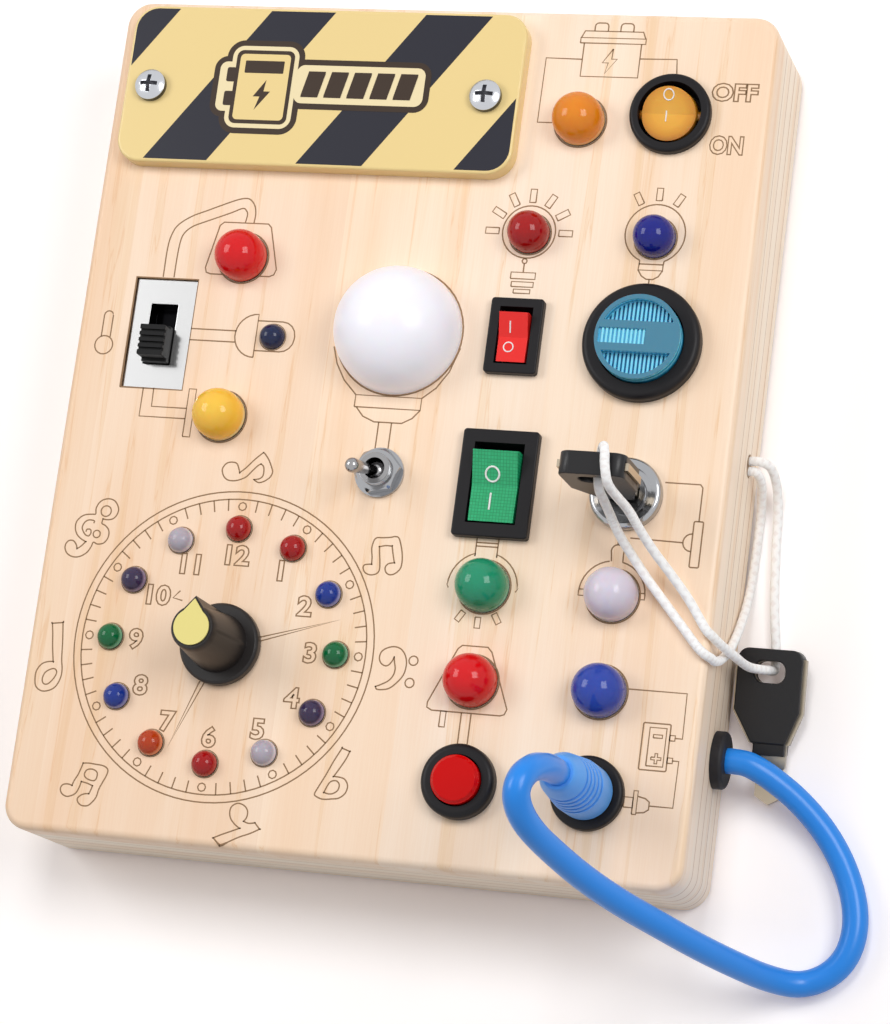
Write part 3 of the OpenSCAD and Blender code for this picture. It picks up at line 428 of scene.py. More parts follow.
# Name, kind, route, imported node, the two bodies, where the bend starts and ends, what goes along
CORDS = (
    ("blue_lead", LEAD, BLUE_ROUTE, "blue_cord", ("plug", "case"),
     (50, -80, 40), (50, -80, 12), ("plug", "plug_pin", "side_grommet")),
    ("string_hole_to_key", STRING, HOLE_ROUTE, "string_from_hole", ("lock_core", "case"),
     (48.99, -18.35, 38), (62.4, -35.8, 28.05), ()),
    ("string_through_eye", STRING, KEY_ROUTE, "string_through_key", ("lock_key", "lock_core"),
     (48, -13, 46), (50.2, -18.3, 38.6), ()),
    ("string_to_spare", STRING, SPARE_ROUTE, "string_to_spare_key", ("lock_core", "case"),
     (53.4, -18.4, 39.2), (63, -30.5, 29), ("spare_key_head", "spare_key_blade")),
)
for name, (diameter, finish, slot, stiffness), line, node, bodies, start, end, on_it in CORDS:
    piece = cord_tube(name, line, diameter, finish, node)
    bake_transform(piece)
    print(name, len(piece.data.polygons), "faces")

# %% [markdown]
# ## Pine
# The case is glued up from pine strips and sanded, then sealed with a thin satin lacquer. On
# the face the grain runs upwards: soft cream early wood, slightly darker late wood lines a few
# millimetres apart, and a change of tone at each glued joint. Pine could be a picture of wood,
# but noise stretched along the grain gives the same look from every side and at every scale.
# Growth lines on the sides of the case run parallel to the face, so the sides get their own
# stretch.


# %% Pine finishes
def pine_colour(tree, along, bands, fibres, cream, tan):
    """Late wood streaks, broad changes of tone and fine fibres, each from its own stretch."""
    streaks, tones, fine = (
        add(tree, "TexNoise", {"Scale": 1.0, "Vector": in_mm(tree, stretch), **more}).outputs["Fac"]
        for stretch, more in (
            (along, {"Detail": 4.0, "Roughness": 0.55, "Distortion": 0.5}),
            (bands, {"Detail": 2.0}),
            (fibres, {"Detail": 2.0}),
        )
    )
    body = add(
        tree, "ValToRGB", {"Fac": streaks}, [(0.30, cream), (0.52, cream), (0.72, tan)]
    ).outputs[0]
    # A late wood line is narrow and darker on one side, where the summer's growth stops.
    for share, source, stops in (
        (1.0, tones, [(0.35, "#FFFFFF"), (0.65, "#FAF0E6")]),
        (0.2, fine, [(0.40, "#F8EFE6"), (0.60, "#FFFFFF")]),
        (0.5, streaks, [(0.575, "#FFFFFF"), (0.592, "#F0D8B8"), (0.600, "#FFFFFF")]),
    ):
        shade = add(tree, "ValToRGB", {"Fac": source}, stops).outputs[0]
        body = add(
            tree, "Mix", {0: share, 6: body, 7: shade}, data_type="RGBA", blend_type="MULTIPLY"
        ).outputs[2]
    return body, fine


print("pine colour ready")

# %% [markdown]
# ### The face
# The face is edge-glued pine board, planed and lacquered: cream, with upright grain and glued
# strips. The laser cut every hole and pocket, so their walls are burnt brown. The outer sides
# were sawn, so the burnt colour stays inside them.

# %% Face of the case
HALF_W = 67.5
BURNT_W, BURNT_H = 65, 82
WALL_TOP = FACE - 0.04
pine_face, tree, shader = finish_of(
    "lacquered_pine_face", "#F6DCC0", 0.42, Coat_Weight=0.12, Coat_Roughness=0.35
)
grain, fibre = pine_colour(
    tree, (0.30, 0.009, 0.30), (0.075, 0.006, 0.075), (3.4, 0.08, 3.4), "#FFEBD7", "#F8DEBF"
)
place = add(tree, "SeparateXYZ", {"Vector": in_mm(tree)}).outputs
across = add(tree, "MapRange", {0: place["X"], 1: -HALF_W, 2: HALF_W}, clamp=True).outputs[0]
# Each glued strip has a tone of its own. The strips on the left are also painted darker and those
# on the right lighter: painted shade and painted light that even out how the lamps light the face.
strip_tone_and_painted_light = add(
    tree, "ValToRGB", {"Fac": across},
    [(0.0, "#F7EDE2"), (0.048, "#FAF3EC"), (0.389, "#FFFBF6"), (0.567, "#FFFFFF"),
     (0.722, "#FFFDFA"), (0.944, "#FFFCF8")],
    "CONSTANT",
).outputs[0]
grain = add(
    tree, "Mix", {0: 1.0, 6: grain, 7: strip_tone_and_painted_light}, data_type="RGBA", blend_type="MULTIPLY"
).outputs[2]
burnt = add(tree, "Math", {0: place["Z"], 1: WALL_TOP}, operation="LESS_THAN").outputs[0]
for axis, half in (("X", BURNT_W), ("Y", BURNT_H)):
    size = add(tree, "Math", {0: place[axis]}, operation="ABSOLUTE").outputs[0]
    near = add(tree, "Math", {0: size, 1: half}, operation="LESS_THAN").outputs[0]
    burnt = add(tree, "Math", {0: burnt, 1: near}, operation="MULTIPLY").outputs[0]
grain = add(tree, "Mix", {0: burnt, 6: grain, 7: "#543E2C"}, data_type="RGBA").outputs[2]
join_pattern(tree, shader, grain, fibre, 0.02, 0.6)
print("burnt walls lie inside", 2 * BURNT_W, "x", 2 * BURNT_H, "mm")

# %% [markdown]
# ### Sides and back
# The sides show the edges of the growth layers: long lines parallel to the face. The frame is a
# stack of thin boards with a fine darker line at each joint, and its lowest edge is painted brown
# as the shade where the case meets the table. The back is thin poplar plywood.

# %% Sides and back of the case
HALF_LAYER = 2.3
CONTACT_SHADE_HEIGHT = 0.7
pine_side, tree, shader = finish_of(
    "lacquered_pine_side", "#EFDAC6", 0.45, Coat_Weight=0.1, Coat_Roughness=0.4
)
# The side's cream and tan are a little lighter than the face's: painted light that makes up for the
# lesser light that reaches the sides.
grain, fibre = pine_colour(
    tree, (0.012, 0.009, 0.55), (0.006, 0.005, 0.16), (0.1, 0.08, 5.0), "#FFF0DE", "#F9E0C2"
)
level = add(tree, "SeparateXYZ", {"Vector": in_mm(tree)}).outputs["Z"]
to_joint = add(tree, "Math", {0: level, 1: HALF_LAYER}, operation="PINGPONG").outputs[0]
joint = add(
    tree, "ValToRGB", {"Fac": to_joint}, [(0.0, "#A9835C"), (0.10, "#C6A27C"), (0.26, "#FFFFFF")]
).outputs[0]
grain = add(
    tree, "Mix", {0: 0.8, 6: grain, 7: joint}, data_type="RGBA", blend_type="MULTIPLY"
).outputs[2]
# Painted shade: the lowest edge is painted brown, where the case meets the table.
painted_contact_shade = add(tree, "Math", {0: level, 1: CONTACT_SHADE_HEIGHT}, operation="LESS_THAN").outputs[0]
grain = add(tree, "Mix", {0: painted_contact_shade, 6: grain, 7: "#A58468"}, data_type="RGBA").outputs[2]
join_pattern(tree, shader, grain, fibre, 0.02, 0.6)

# Poplar is paler, flat and a little rougher, with open grain.
plywood, tree, shader = finish_of("sanded_poplar_plywood", "#DCC39C", 0.6)
grain, fibre = pine_colour(
    tree, (0.25, 0.02, 0.25), (0.05, 0.01, 0.05), (2.5, 0.15, 2.5), "#E9D2AE", "#D6B88C"
)
join_pattern(tree, shader, grain, fibre, 0.04)

# A laser burns its line to brown charcoal: dark, dry and without shine.
scorched, _, _ = finish_of("laser_scorched_wood", "#97785A", 0.95)
print("a joint every", 2 * HALF_LAYER, "mm of the sides")

# %% [markdown]
# ## Plastics
# Switch housings, bezels and key heads are injection-moulded ABS. Moulded plastic gets its look
# from the mould: a satin part has a faint spark-eroded texture, a glossy one has nearly none.
# Rubber and vinyl are softer and rougher. Blacks get a low specular level, because the white
# surround would turn them grey.


# %% Moulded plastics
def moulded(name, colour, roughness, texture_mm=0.02, **values):
    """Moulded plastic with the fine texture that a spark-eroded mould leaves."""
    made, tree, shader = finish_of(name, colour, roughness, **values)
    speckle = add(tree, "TexNoise", {"Scale": 4.0, "Detail": 2.0, "Vector": in_mm(tree)})
    join_pattern(tree, shader, None, speckle.outputs["Fac"], texture_mm, 0.5)
    return made


# Satin ABS and nylon: deep black with a soft, grey sheen on the edges.
black_abs = moulded("black_satin_abs", "#100E11", 0.42, Specular_IOR_Level=0.25)
knob_abs = moulded("black_knob_abs", "#1D1918", 0.36, Specular_IOR_Level=0.35)
slide_nylon = moulded("black_slide_nylon", "#0A0A0B", 0.5, 0.03, Specular_IOR_Level=0.2)
key_abs = moulded("black_key_abs", "#161517", 0.34, 0.03, Specular_IOR_Level=0.35)
# Soft vinyl: duller than ABS on the grommet, and a light, satin blue on the plug.
rubber = moulded("black_vinyl_grommet", "#1B1A1E", 0.55, 0.04, Specular_IOR_Level=0.3)
plug_vinyl = moulded("blue_moulded_vinyl", "#5AA4F2", 0.42, 0.03, Specular_IOR_Level=0.4)
# Gloss ABS from a polished mould: a strong red with a clear highlight, and a soft yellow cap.
red_abs = moulded("red_gloss_abs", "#CE0304", 0.24, 0.006, Specular_IOR_Level=0.2)
yellow_cap = moulded("pale_yellow_cap", "#E9DB86", 0.4)
# Inside the case: shrink sleeve, lacquered circuit board and wire, all with a plain soft shine.
sleeve = moulded("blue_cell_sleeve", "#3E6E8E", 0.3)
board_green = moulded("green_circuit_board", "#2E6B3F", 0.45)
wire_vinyl = moulded("red_wire_vinyl", "#A8322C", 0.45)
# Opal acrylic passes light on from its lit side, and a faint emission paints that light in: a
# painted glow that keeps its shaded side bright.
white_dome_painted_glow, _, _ = finish_of(
    "opal_white_acrylic_painted_glow", "#EDEBF2", 0.28, Subsurface_Weight=0.2, Subsurface_Scale=0.003,
    Specular_IOR_Level=0.4, Emission_Color=linear("#F4F2FF"), Emission_Strength=0.17,
)
# The plate of the sign is acrylic printed on top: warm yellow with a smooth, glossy surface.
sign_yellow, _, _ = finish_of("printed_yellow_acrylic", "#EFD492", 0.22)
# Screen print and pad print lie on top as thin films of ink, a little less glossy.
sign_black, _, _ = finish_of("screen_print_black", "#25252F", 0.32, Specular_IOR_Level=0.3)
sign_cream, _, _ = finish_of("screen_print_cream", "#F1DFB2", 0.32)
sign_brown, _, _ = finish_of("screen_print_brown", "#3A2C22", 0.32, Specular_IOR_Level=0.3)
white_paint, _, _ = finish_of("pad_printed_white", "#F4F1F0", 0.45)
print("plastics and prints ready")

# %% [markdown]
# ## Coloured lenses
# A small lamp is tinted epoxy, cast in a polished mould. Its round end is glossy and evenly
# coloured, because the light scatters inside it. Down at the hole the body is painted dark as
# painted shade, and just above the hole a thin bright line is painted as the light that leaves
# the rim. Both depend only on the height above the face, so one gradient along Z paints them.


# %% Lens finishes
LENS_HEIGHT = 8


def lens(name, rim, body, top, foot="#1B1412", beyond=None):
    """Tinted epoxy: a foot painted dark as shade, a rim painted bright as light, then its colour.
    Lamps beyond the middle of the board may have a colour of their own."""
    made, tree, shader = finish_of(name, body, 0.06, IOR=1.5, Subsurface_Weight=0.25,
                                   Subsurface_Scale=0.002, Specular_IOR_Level=0.32)
    place = add(tree, "SeparateXYZ", {"Vector": in_mm(tree)}).outputs
    steps = {0: place["Z"], 1: FACE, 2: FACE + LENS_HEIGHT}
    above = add(tree, "MapRange", steps, clamp=True).outputs[0]
    # Painted shade at the foot and a painted bright line at the rim, both by height over the face.
    shade = add(
        tree, "ValToRGB", {"Fac": above},
        [(0.0, foot), (0.03, foot), (0.07, rim), (0.13, rim), (0.2, body), (0.6, body),
         (0.95, top)],
    ).outputs[0]
    if beyond:
        far = add(tree, "Math", {0: place["Y"], 1: 0}, operation="GREATER_THAN").outputs[0]
        shade = add(tree, "Mix", {0: far, 6: shade, 7: beyond}, data_type="RGBA").outputs[2]
    join_pattern(tree, shader, shade)
    return made


# Large and medium lamps: tinted epoxy looks lit from within, and the milky one is diffused.
red_lens = lens("red_tinted_epoxy", "#E45848", "#DA0A12", "#DE0E16")
deep_red_lens = lens("deep_red_tinted_epoxy", "#B43A33", "#A60C0D", "#AC0E10")
blue_lens = lens("blue_tinted_epoxy", "#8B8FC4", "#2C45A6", "#2F49AC")
deep_blue_lens = lens("deep_blue_tinted_epoxy", "#5C60A4", "#151D84", "#18218C")
green_lens = lens("green_tinted_epoxy", "#86C6A8", "#1F9068", "#249670")
amber_lens = lens("amber_tinted_epoxy", "#F2B87A", "#E48414", "#E88A1C")
yellow_lens = lens("yellow_tinted_epoxy", "#F8DC9C", "#FDC23A", "#FECA4C")
milky_lens = lens("clear_frosted_epoxy", "#EAE2EA", "#D8CEDC", "#DCD4E2", "#4A4350")
# The dial's 5 mm lamps: less epoxy to scatter light, so they look darker.
violet_lens = lens("violet_tinted_epoxy", "#8C7C9C", "#3D2F50", "#423456")
small_green_lens = lens("dark_green_tinted_epoxy", "#6CB08E", "#06693A", "#0A6E3E")
small_milky_lens = lens("grey_frosted_epoxy", "#D8D0D8", "#B4ACB8", "#B8B0BC", "#4A4350")
orange_lens = lens("orange_tinted_epoxy", "#DE8A60", "#B83E0E", "#BC4412")
# Beside the slide switch stands a pilot lamp of a much darker blue than those of the dial.
small_blue_lens = lens(
    "dark_and_light_blue_epoxy", "#8B8FC4", "#1A3692", "#1E3A98", beyond="#16224A"
)
print("lenses ready")

# %% [markdown]
# ## Tinted switch caps
# The rockers and the rotary cap are clear polycarbonate with a strong tint, and what shows is
# light that comes back from their ribbed undersides. The green rocker has a fine square grid
# under its skin. The blue cap has painted highlights where the ribs stand and painted shade in
# the valleys and on its smooth bar.

# %% Tinted caps
# The amber is brightest in the middle and painted brown towards the bezel's wall, as painted shade.
AMBER_MIDDLE = (48.1, 64.3, 0)
AMBER_SHADE_REACH = 7
amber_cap_painted_shade, tree, shader = finish_of(
    "amber_polycarbonate_painted_shade", "#F4AA3E", 0.14, IOR=1.58, Subsurface_Weight=0.2,
    Subsurface_Scale=0.002, Specular_IOR_Level=0.4,
)
from_middle = add(
    tree, "VectorMath", {0: in_mm(tree, (1, 1, 0)), 1: AMBER_MIDDLE}, operation="DISTANCE"
).outputs["Value"]
shade_toward_wall = add(tree, "MapRange", {0: from_middle, 1: 0, 2: AMBER_SHADE_REACH}, clamp=True).outputs[0]
shade = add(
    tree, "ValToRGB", {"Fac": shade_toward_wall},
    [(0.0, "#ECB144"), (0.45, "#E6A638"), (0.68, "#D28E28"), (0.86, "#A8661C"), (1.0, "#7A4414")],
).outputs[0]
join_pattern(tree, shader, shade)

# The small red rocker is dense enough to look opaque, with a clear highlight.
red_cap, _, _ = finish_of("red_polycarbonate", "#EA2420", 0.24, IOR=1.58, Specular_IOR_Level=0.35)

# The green one shows a grid of square cells, 0.62 mm wide, with darker lines between them.
GRID_MM = 0.62
green_cap, tree, shader = finish_of(
    "green_polycarbonate", "#2FA870", 0.24, IOR=1.58, Specular_IOR_Level=0.4
)
cells = add(
    tree, "TexBrick",
    {"Color1": "#26B276", "Color2": "#1FA86C", "Mortar": "#178A56", "Scale": 1.0,
     "Mortar Size": 0.07, "Mortar Smooth": 0.6, "Brick Width": GRID_MM, "Row Height": GRID_MM,
     "Vector": in_mm(tree)},
    offset=0.0,
)
join_pattern(tree, shader, cells.outputs["Color"])

# The blue cap, in bands by height: painted highlights on the ribs' tops and the inlay, and
# painted shade in the valleys and on the bar.
CAP_TOP, CAP_DEPTH = 32.6, 3
blue_cap_painted_light, tree, shader = finish_of(
    "blue_polycarbonate_painted_light", "#2F86B8", 0.12, IOR=1.58, Subsurface_Weight=0.2, Subsurface_Scale=0.002
)
height = add(tree, "SeparateXYZ", {"Vector": in_mm(tree)}).outputs["Z"]
span = {0: height, 1: CAP_TOP - CAP_DEPTH, 2: CAP_TOP}
depth = add(tree, "MapRange", span, clamp=True).outputs[0]
shade = add(
    tree, "ValToRGB", {"Fac": depth},
    [(0.1, "#2C94C0"), (0.25, "#44AEDA"), (0.42, "#7FDCF4"), (0.60, "#3C8CAC"),
     (0.72, "#36A4D0"), (0.88, "#8AE6FB"), (0.95, "#4A90AC"), (1.0, "#3E829E")],
).outputs[0]
join_pattern(tree, shader, shade)
print("tinted caps ready")

# %% [markdown]
# ## Metals
# Screws, the toggle and the lock are plated steel and brass: nickel or chrome over a turned or
# stamped surface. Plating is nearly a mirror, so its look is what it reflects. The slide
# switch sits on a bare, bright plate, and the keys are stamped nickel silver, a little warmer.


# %% Plated and stamped metals
def metal(name, colour, roughness, scratch_mm, stretch=(1, 1, 1), below=None):
    """A metal with the fine lines left by turning, stamping or rolling. Below is a level in mm
    and a dark colour painted under it as shade, such as the shadow in a recess."""
    made, tree, shader = finish_of(name, colour, roughness, Metallic=1.0)
    lines = add(tree, "TexNoise", {"Scale": 2.0, "Detail": 3.0, "Vector": in_mm(tree, stretch)})
    shade = None
    if below:
        height = add(tree, "SeparateXYZ", {"Vector": in_mm(tree)}).outputs["Z"]
        deep = add(tree, "Math", {0: height, 1: below[0]}, operation="LESS_THAN").outputs[0]
        shade = add(tree, "Mix", {0: deep, 6: colour, 7: below[1]}, data_type="RGBA").outputs[2]
    join_pattern(tree, shader, shade, lines.outputs["Fac"], scratch_mm, 0.5)
    return made


# Bright nickel over polished brass: nearly a mirror, a little grey.
chrome = metal("bright_nickel_plate", "#A9AAAD", 0.13, 0.01)
turned_nickel = metal("turned_nickel_shaft", "#A09FA0", 0.14, 0.012)
# Zinc: softer and bluer, and dull grey on the die-cast core of the lock.
zinc = metal("zinc_plated_steel", "#C2C6CC", 0.3, 0.02)
core_metal = metal("nickel_plated_zinc_core", "#7E7E80", 0.22, 0.02)
# The sign's screws: a domed zinc head, with the recess of the cross painted dark as its shadow.
RECESS_LEVEL = 31.66
screw_zinc_painted_recess = metal("domed_zinc_screw_painted_recess", "#C9CBD0", 0.2, 0.02, below=(RECESS_LEVEL, "#4A4A4E"))
# Rolled steel: bright and smooth. Below its top the plate is painted near black, as painted shade
# in its slot and on the slot's walls.
SLOT_LEVEL = FACE - 0.84
slide_plate_painted_slot = metal(
    "polished_steel_plate_painted_slot", "#DCDCDC", 0.16, 0.006, (0.3, 0.3, 0.3), (SLOT_LEVEL, "#121214")
)
# Nickel silver and brass: warmer, with a soft shine.
key_metal = metal("stamped_nickel_silver", "#B9AC98", 0.3, 0.02, (0.4, 0.4, 3))
contact_metal = metal("brass_contact", "#C9A25A", 0.35, 0.02)
print("metals ready")

# %% [markdown]
# ## Finishes by part
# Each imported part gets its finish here, and its mesh is never touched. A table of finishes and
# the names of the parts that have them is easier to check than one line for each part.

# %% Finishes by part
FINISHES = (
    (pine_face, "face_panel"),
    (pine_side, "case_frame"),
    (plywood, "back_panel"),
    (zinc, "back_screws terminals selector_shaft"),
    (chrome, "panel_nuts lock_barrel plug_pin"),
    (turned_nickel, "toggle_body toggle_lever"),
    (screw_zinc_painted_recess, "sign_screws"),
    (core_metal, "lock_core"),
    (sign_yellow, "sign_plate"),
    (black_abs, "battery_tray amber_rocker_frame red_rocker_frame green_rocker_frame"
                " rotary_frame push_frame selector_switch socket"),
    (slide_nylon, "slide_button"),
    (sleeve, "battery_cells"),
    (contact_metal, "battery_contacts"),
    (red_lens, "large_lamps_red"),
    (deep_red_lens, "small_lamps_red medium_lamp_red"),
    (blue_lens, "large_lamp_blue"),
    (small_blue_lens, "small_lamps_blue"),
    (deep_blue_lens, "medium_lamp_blue"),
    (green_lens, "large_lamp_green"),
    (small_green_lens, "small_lamps_green"),
    (violet_lens, "small_lamps_purple"),
    (milky_lens, "large_lamp_white"),
    (small_milky_lens, "small_lamps_clear"),
    (orange_lens, "small_lamp_orange"),
    (yellow_lens, "large_lamp_yellow"),
    (amber_lens, "large_lamp_amber"),
    (white_dome_painted_glow, "dome_lens"),
    (board_green, "dome_lamp_board"),
    (wire_vinyl, "wiring_loom"),
    (amber_cap_painted_shade, "amber_rocker"),
    (red_cap, "red_rocker"),
    (green_cap, "green_rocker"),
    (blue_cap_painted_light, "rotary_knob"),
    (red_abs, "push_button"),
    (slide_plate_painted_slot, "slide_frame"),
    (knob_abs, "selector_knob"),
    (yellow_cap, "knob_cap"),
    (key_abs, "lock_key_head spare_key_head"),
    (key_metal, "lock_key_blade spare_key_blade"),
    (plug_vinyl, "plug"),
    (rubber, "side_grommet"),
    (blue_pvc, "blue_cord"),
    (cotton_braid, "string_from_hole string_through_key string_to_spare_key"),
)
for finish, names in FINISHES:
    for node in names.split():
        for entry in cad[node].material_slots:
            entry.material = finish
undressed = sorted(set(cad) - {node for _, names in FINISHES for node in names.split()})
print("dressed", len(cad) - len(undressed), "parts; left:", undressed)

# %% [markdown]
# ## Edge radii
# Parts that are moulded or turned have a small edge radius that the solids leave out, so those
# get a Weld and a Bevel modifier: the weld joins the loose triangles, and the bevel rounds edges
# sharper than 35 degrees. A round edge catches a thin line of light, as a real one does.


# %% Soft edges
SHARP = 35


def soften(node, radius_mm):
    """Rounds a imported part's sharp edges with modifiers, as its mould or its polish does."""
    weld = cad[node].modifiers.new("weld", "WELD")
    weld.merge_threshold = 0.002 * mm
    bevel = cad[node].modifiers.new("edge", "BEVEL")
    bevel.width = radius_mm * mm
    bevel.segments = 2
    bevel.limit_method = "ANGLE"
    bevel.angle_limit = math.radians(SHARP)
    bevel.harden_normals = True


for node, radius_mm in (
    ("sign_screws", 0.12), ("green_rocker", 0.3), ("red_rocker", 0.25), ("push_button", 0.2),
    ("rotary_knob", 0.1), ("slide_button", 0.2), ("slide_frame", 0.12),
    ("selector_knob", 0.25), ("knob_cap", 0.1), ("lock_key_head", 0.5),
    ("spare_key_head", 0.5), ("lock_core", 0.12), ("lock_barrel", 0.12), ("plug", 0.15),
    ("amber_rocker", 0.25),
):
    soften(node, radius_mm)
print("edges softened")

# %% [markdown]
# ## Burnt lines
# A laser draws all the pictures on the face: a desk lamp, a torch, bulbs, wires, a clock ring
# and notes. The line is about a quarter of a millimetre wide and lies flush with the wood. Here
# each picture is a set of strokes in millimetres on the face. A thin rod follows every stroke
# and lies almost wholly in the wood, so that only its top shows as a fine brown line. The
# alternative, a painted mask, would be blurred from close by.


# %% Strokes
def arc(x, y, r, start, end, step=8):
    """Points on an arc, with angles in degrees from +X, anticlockwise."""
    count = max(2, round(abs(end - start) / step))
    angles = [math.radians(start + (end - start) * i / count) for i in range(count + 1)]
    return [(x + r * math.cos(a), y + r * math.sin(a)) for a in angles]


def ring(x, y, r, step=10):
    return arc(x, y, r, 0, 360, step)


def frame_line(x0, y0, x1, y1, r=0.0):
    """A closed rectangle between two corners, with round corners if r is given."""
    if not r:
        return [(x0, y0), (x1, y0), (x1, y1), (x0, y1), (x0, y0)]
    line = (
        arc(x1 - r, y1 - r, r, 0, 90, 22)
        + arc(x0 + r, y1 - r, r, 90, 180, 22)
        + arc(x0 + r, y0 + r, r, 180, 270, 22)
        + arc(x1 - r, y0 + r, r, 270, 360, 22)
    )
    return line + line[:1]


def curved(points, closed=False):
    """A smooth stroke through a few points. A point given twice makes a corner."""
    if closed:
        points = [points[-1], *points, *points[:2]]
    line = smooth([(x, y, 0) for x, y in points], steps=4)
    if closed:
        line = line[4:-4]
    line = [(p.x / mm, p.y / mm) for p in line]
    return [line[0]] + [b for a, b in zip(line, line[1:]) if math.dist(a, b) > 0.02]


def rays(x, y, inner, outer, half_width, angles):
    """Short bars that stand round a lamp, at angles in degrees from +X."""
    bar = frame_line(inner, -half_width, outer, half_width)
    turns = [(math.cos(math.radians(a)), math.sin(math.radians(a))) for a in angles]
    return [[(x + c * u - s * v, y + s * u + c * v) for u, v in bar] for c, s in turns]


print("a stroke through an arc of 90 degrees has", len(arc(0, 0, 1, 0, 90)), "points")

# %% [markdown]
# ### From strokes to a piece
# The rod has six sides, and its flat top stands 0.02 mm over the wood: enough to hide the face
# under it, and too little to see from the side.


# %% Engraving
LINE_R = 0.26
LINE_SINK = 0.205


def object_of(name, whole):
    """Turns a bmesh into a mesh object at the origin."""
    data = bpy.data.meshes.new(name)
    whole.to_mesh(data)
    whole.free()
    made = bpy.data.objects.new(name, data)
    bpy.context.scene.collection.objects.link(made)
    return made


def dress(made, finish, body):
    """Gives a new piece its finish and the body that it rides on."""
    made.data.materials.clear()
    made.data.materials.append(finish)
    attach(made, body)
    print(made.name, len(made.data.polygons), "faces")


def engrave(name, strokes):
    """Makes one piece of many strokes, sunk into the face."""
    level = (FACE - LINE_SINK) * mm
    lines = [[(x * mm, y * mm, level) for x, y in stroke] for stroke in strokes]
    made = mesh_of(curve_object(name, lines, LINE_R * mm), name)
    dress(made, scorched, "case")


print("a line shows", round(LINE_R, 2), "mm wide")

# %% [markdown]
# ### Lamp pictures
# The places were read off the photograph after it was straightened onto the plane of the face.

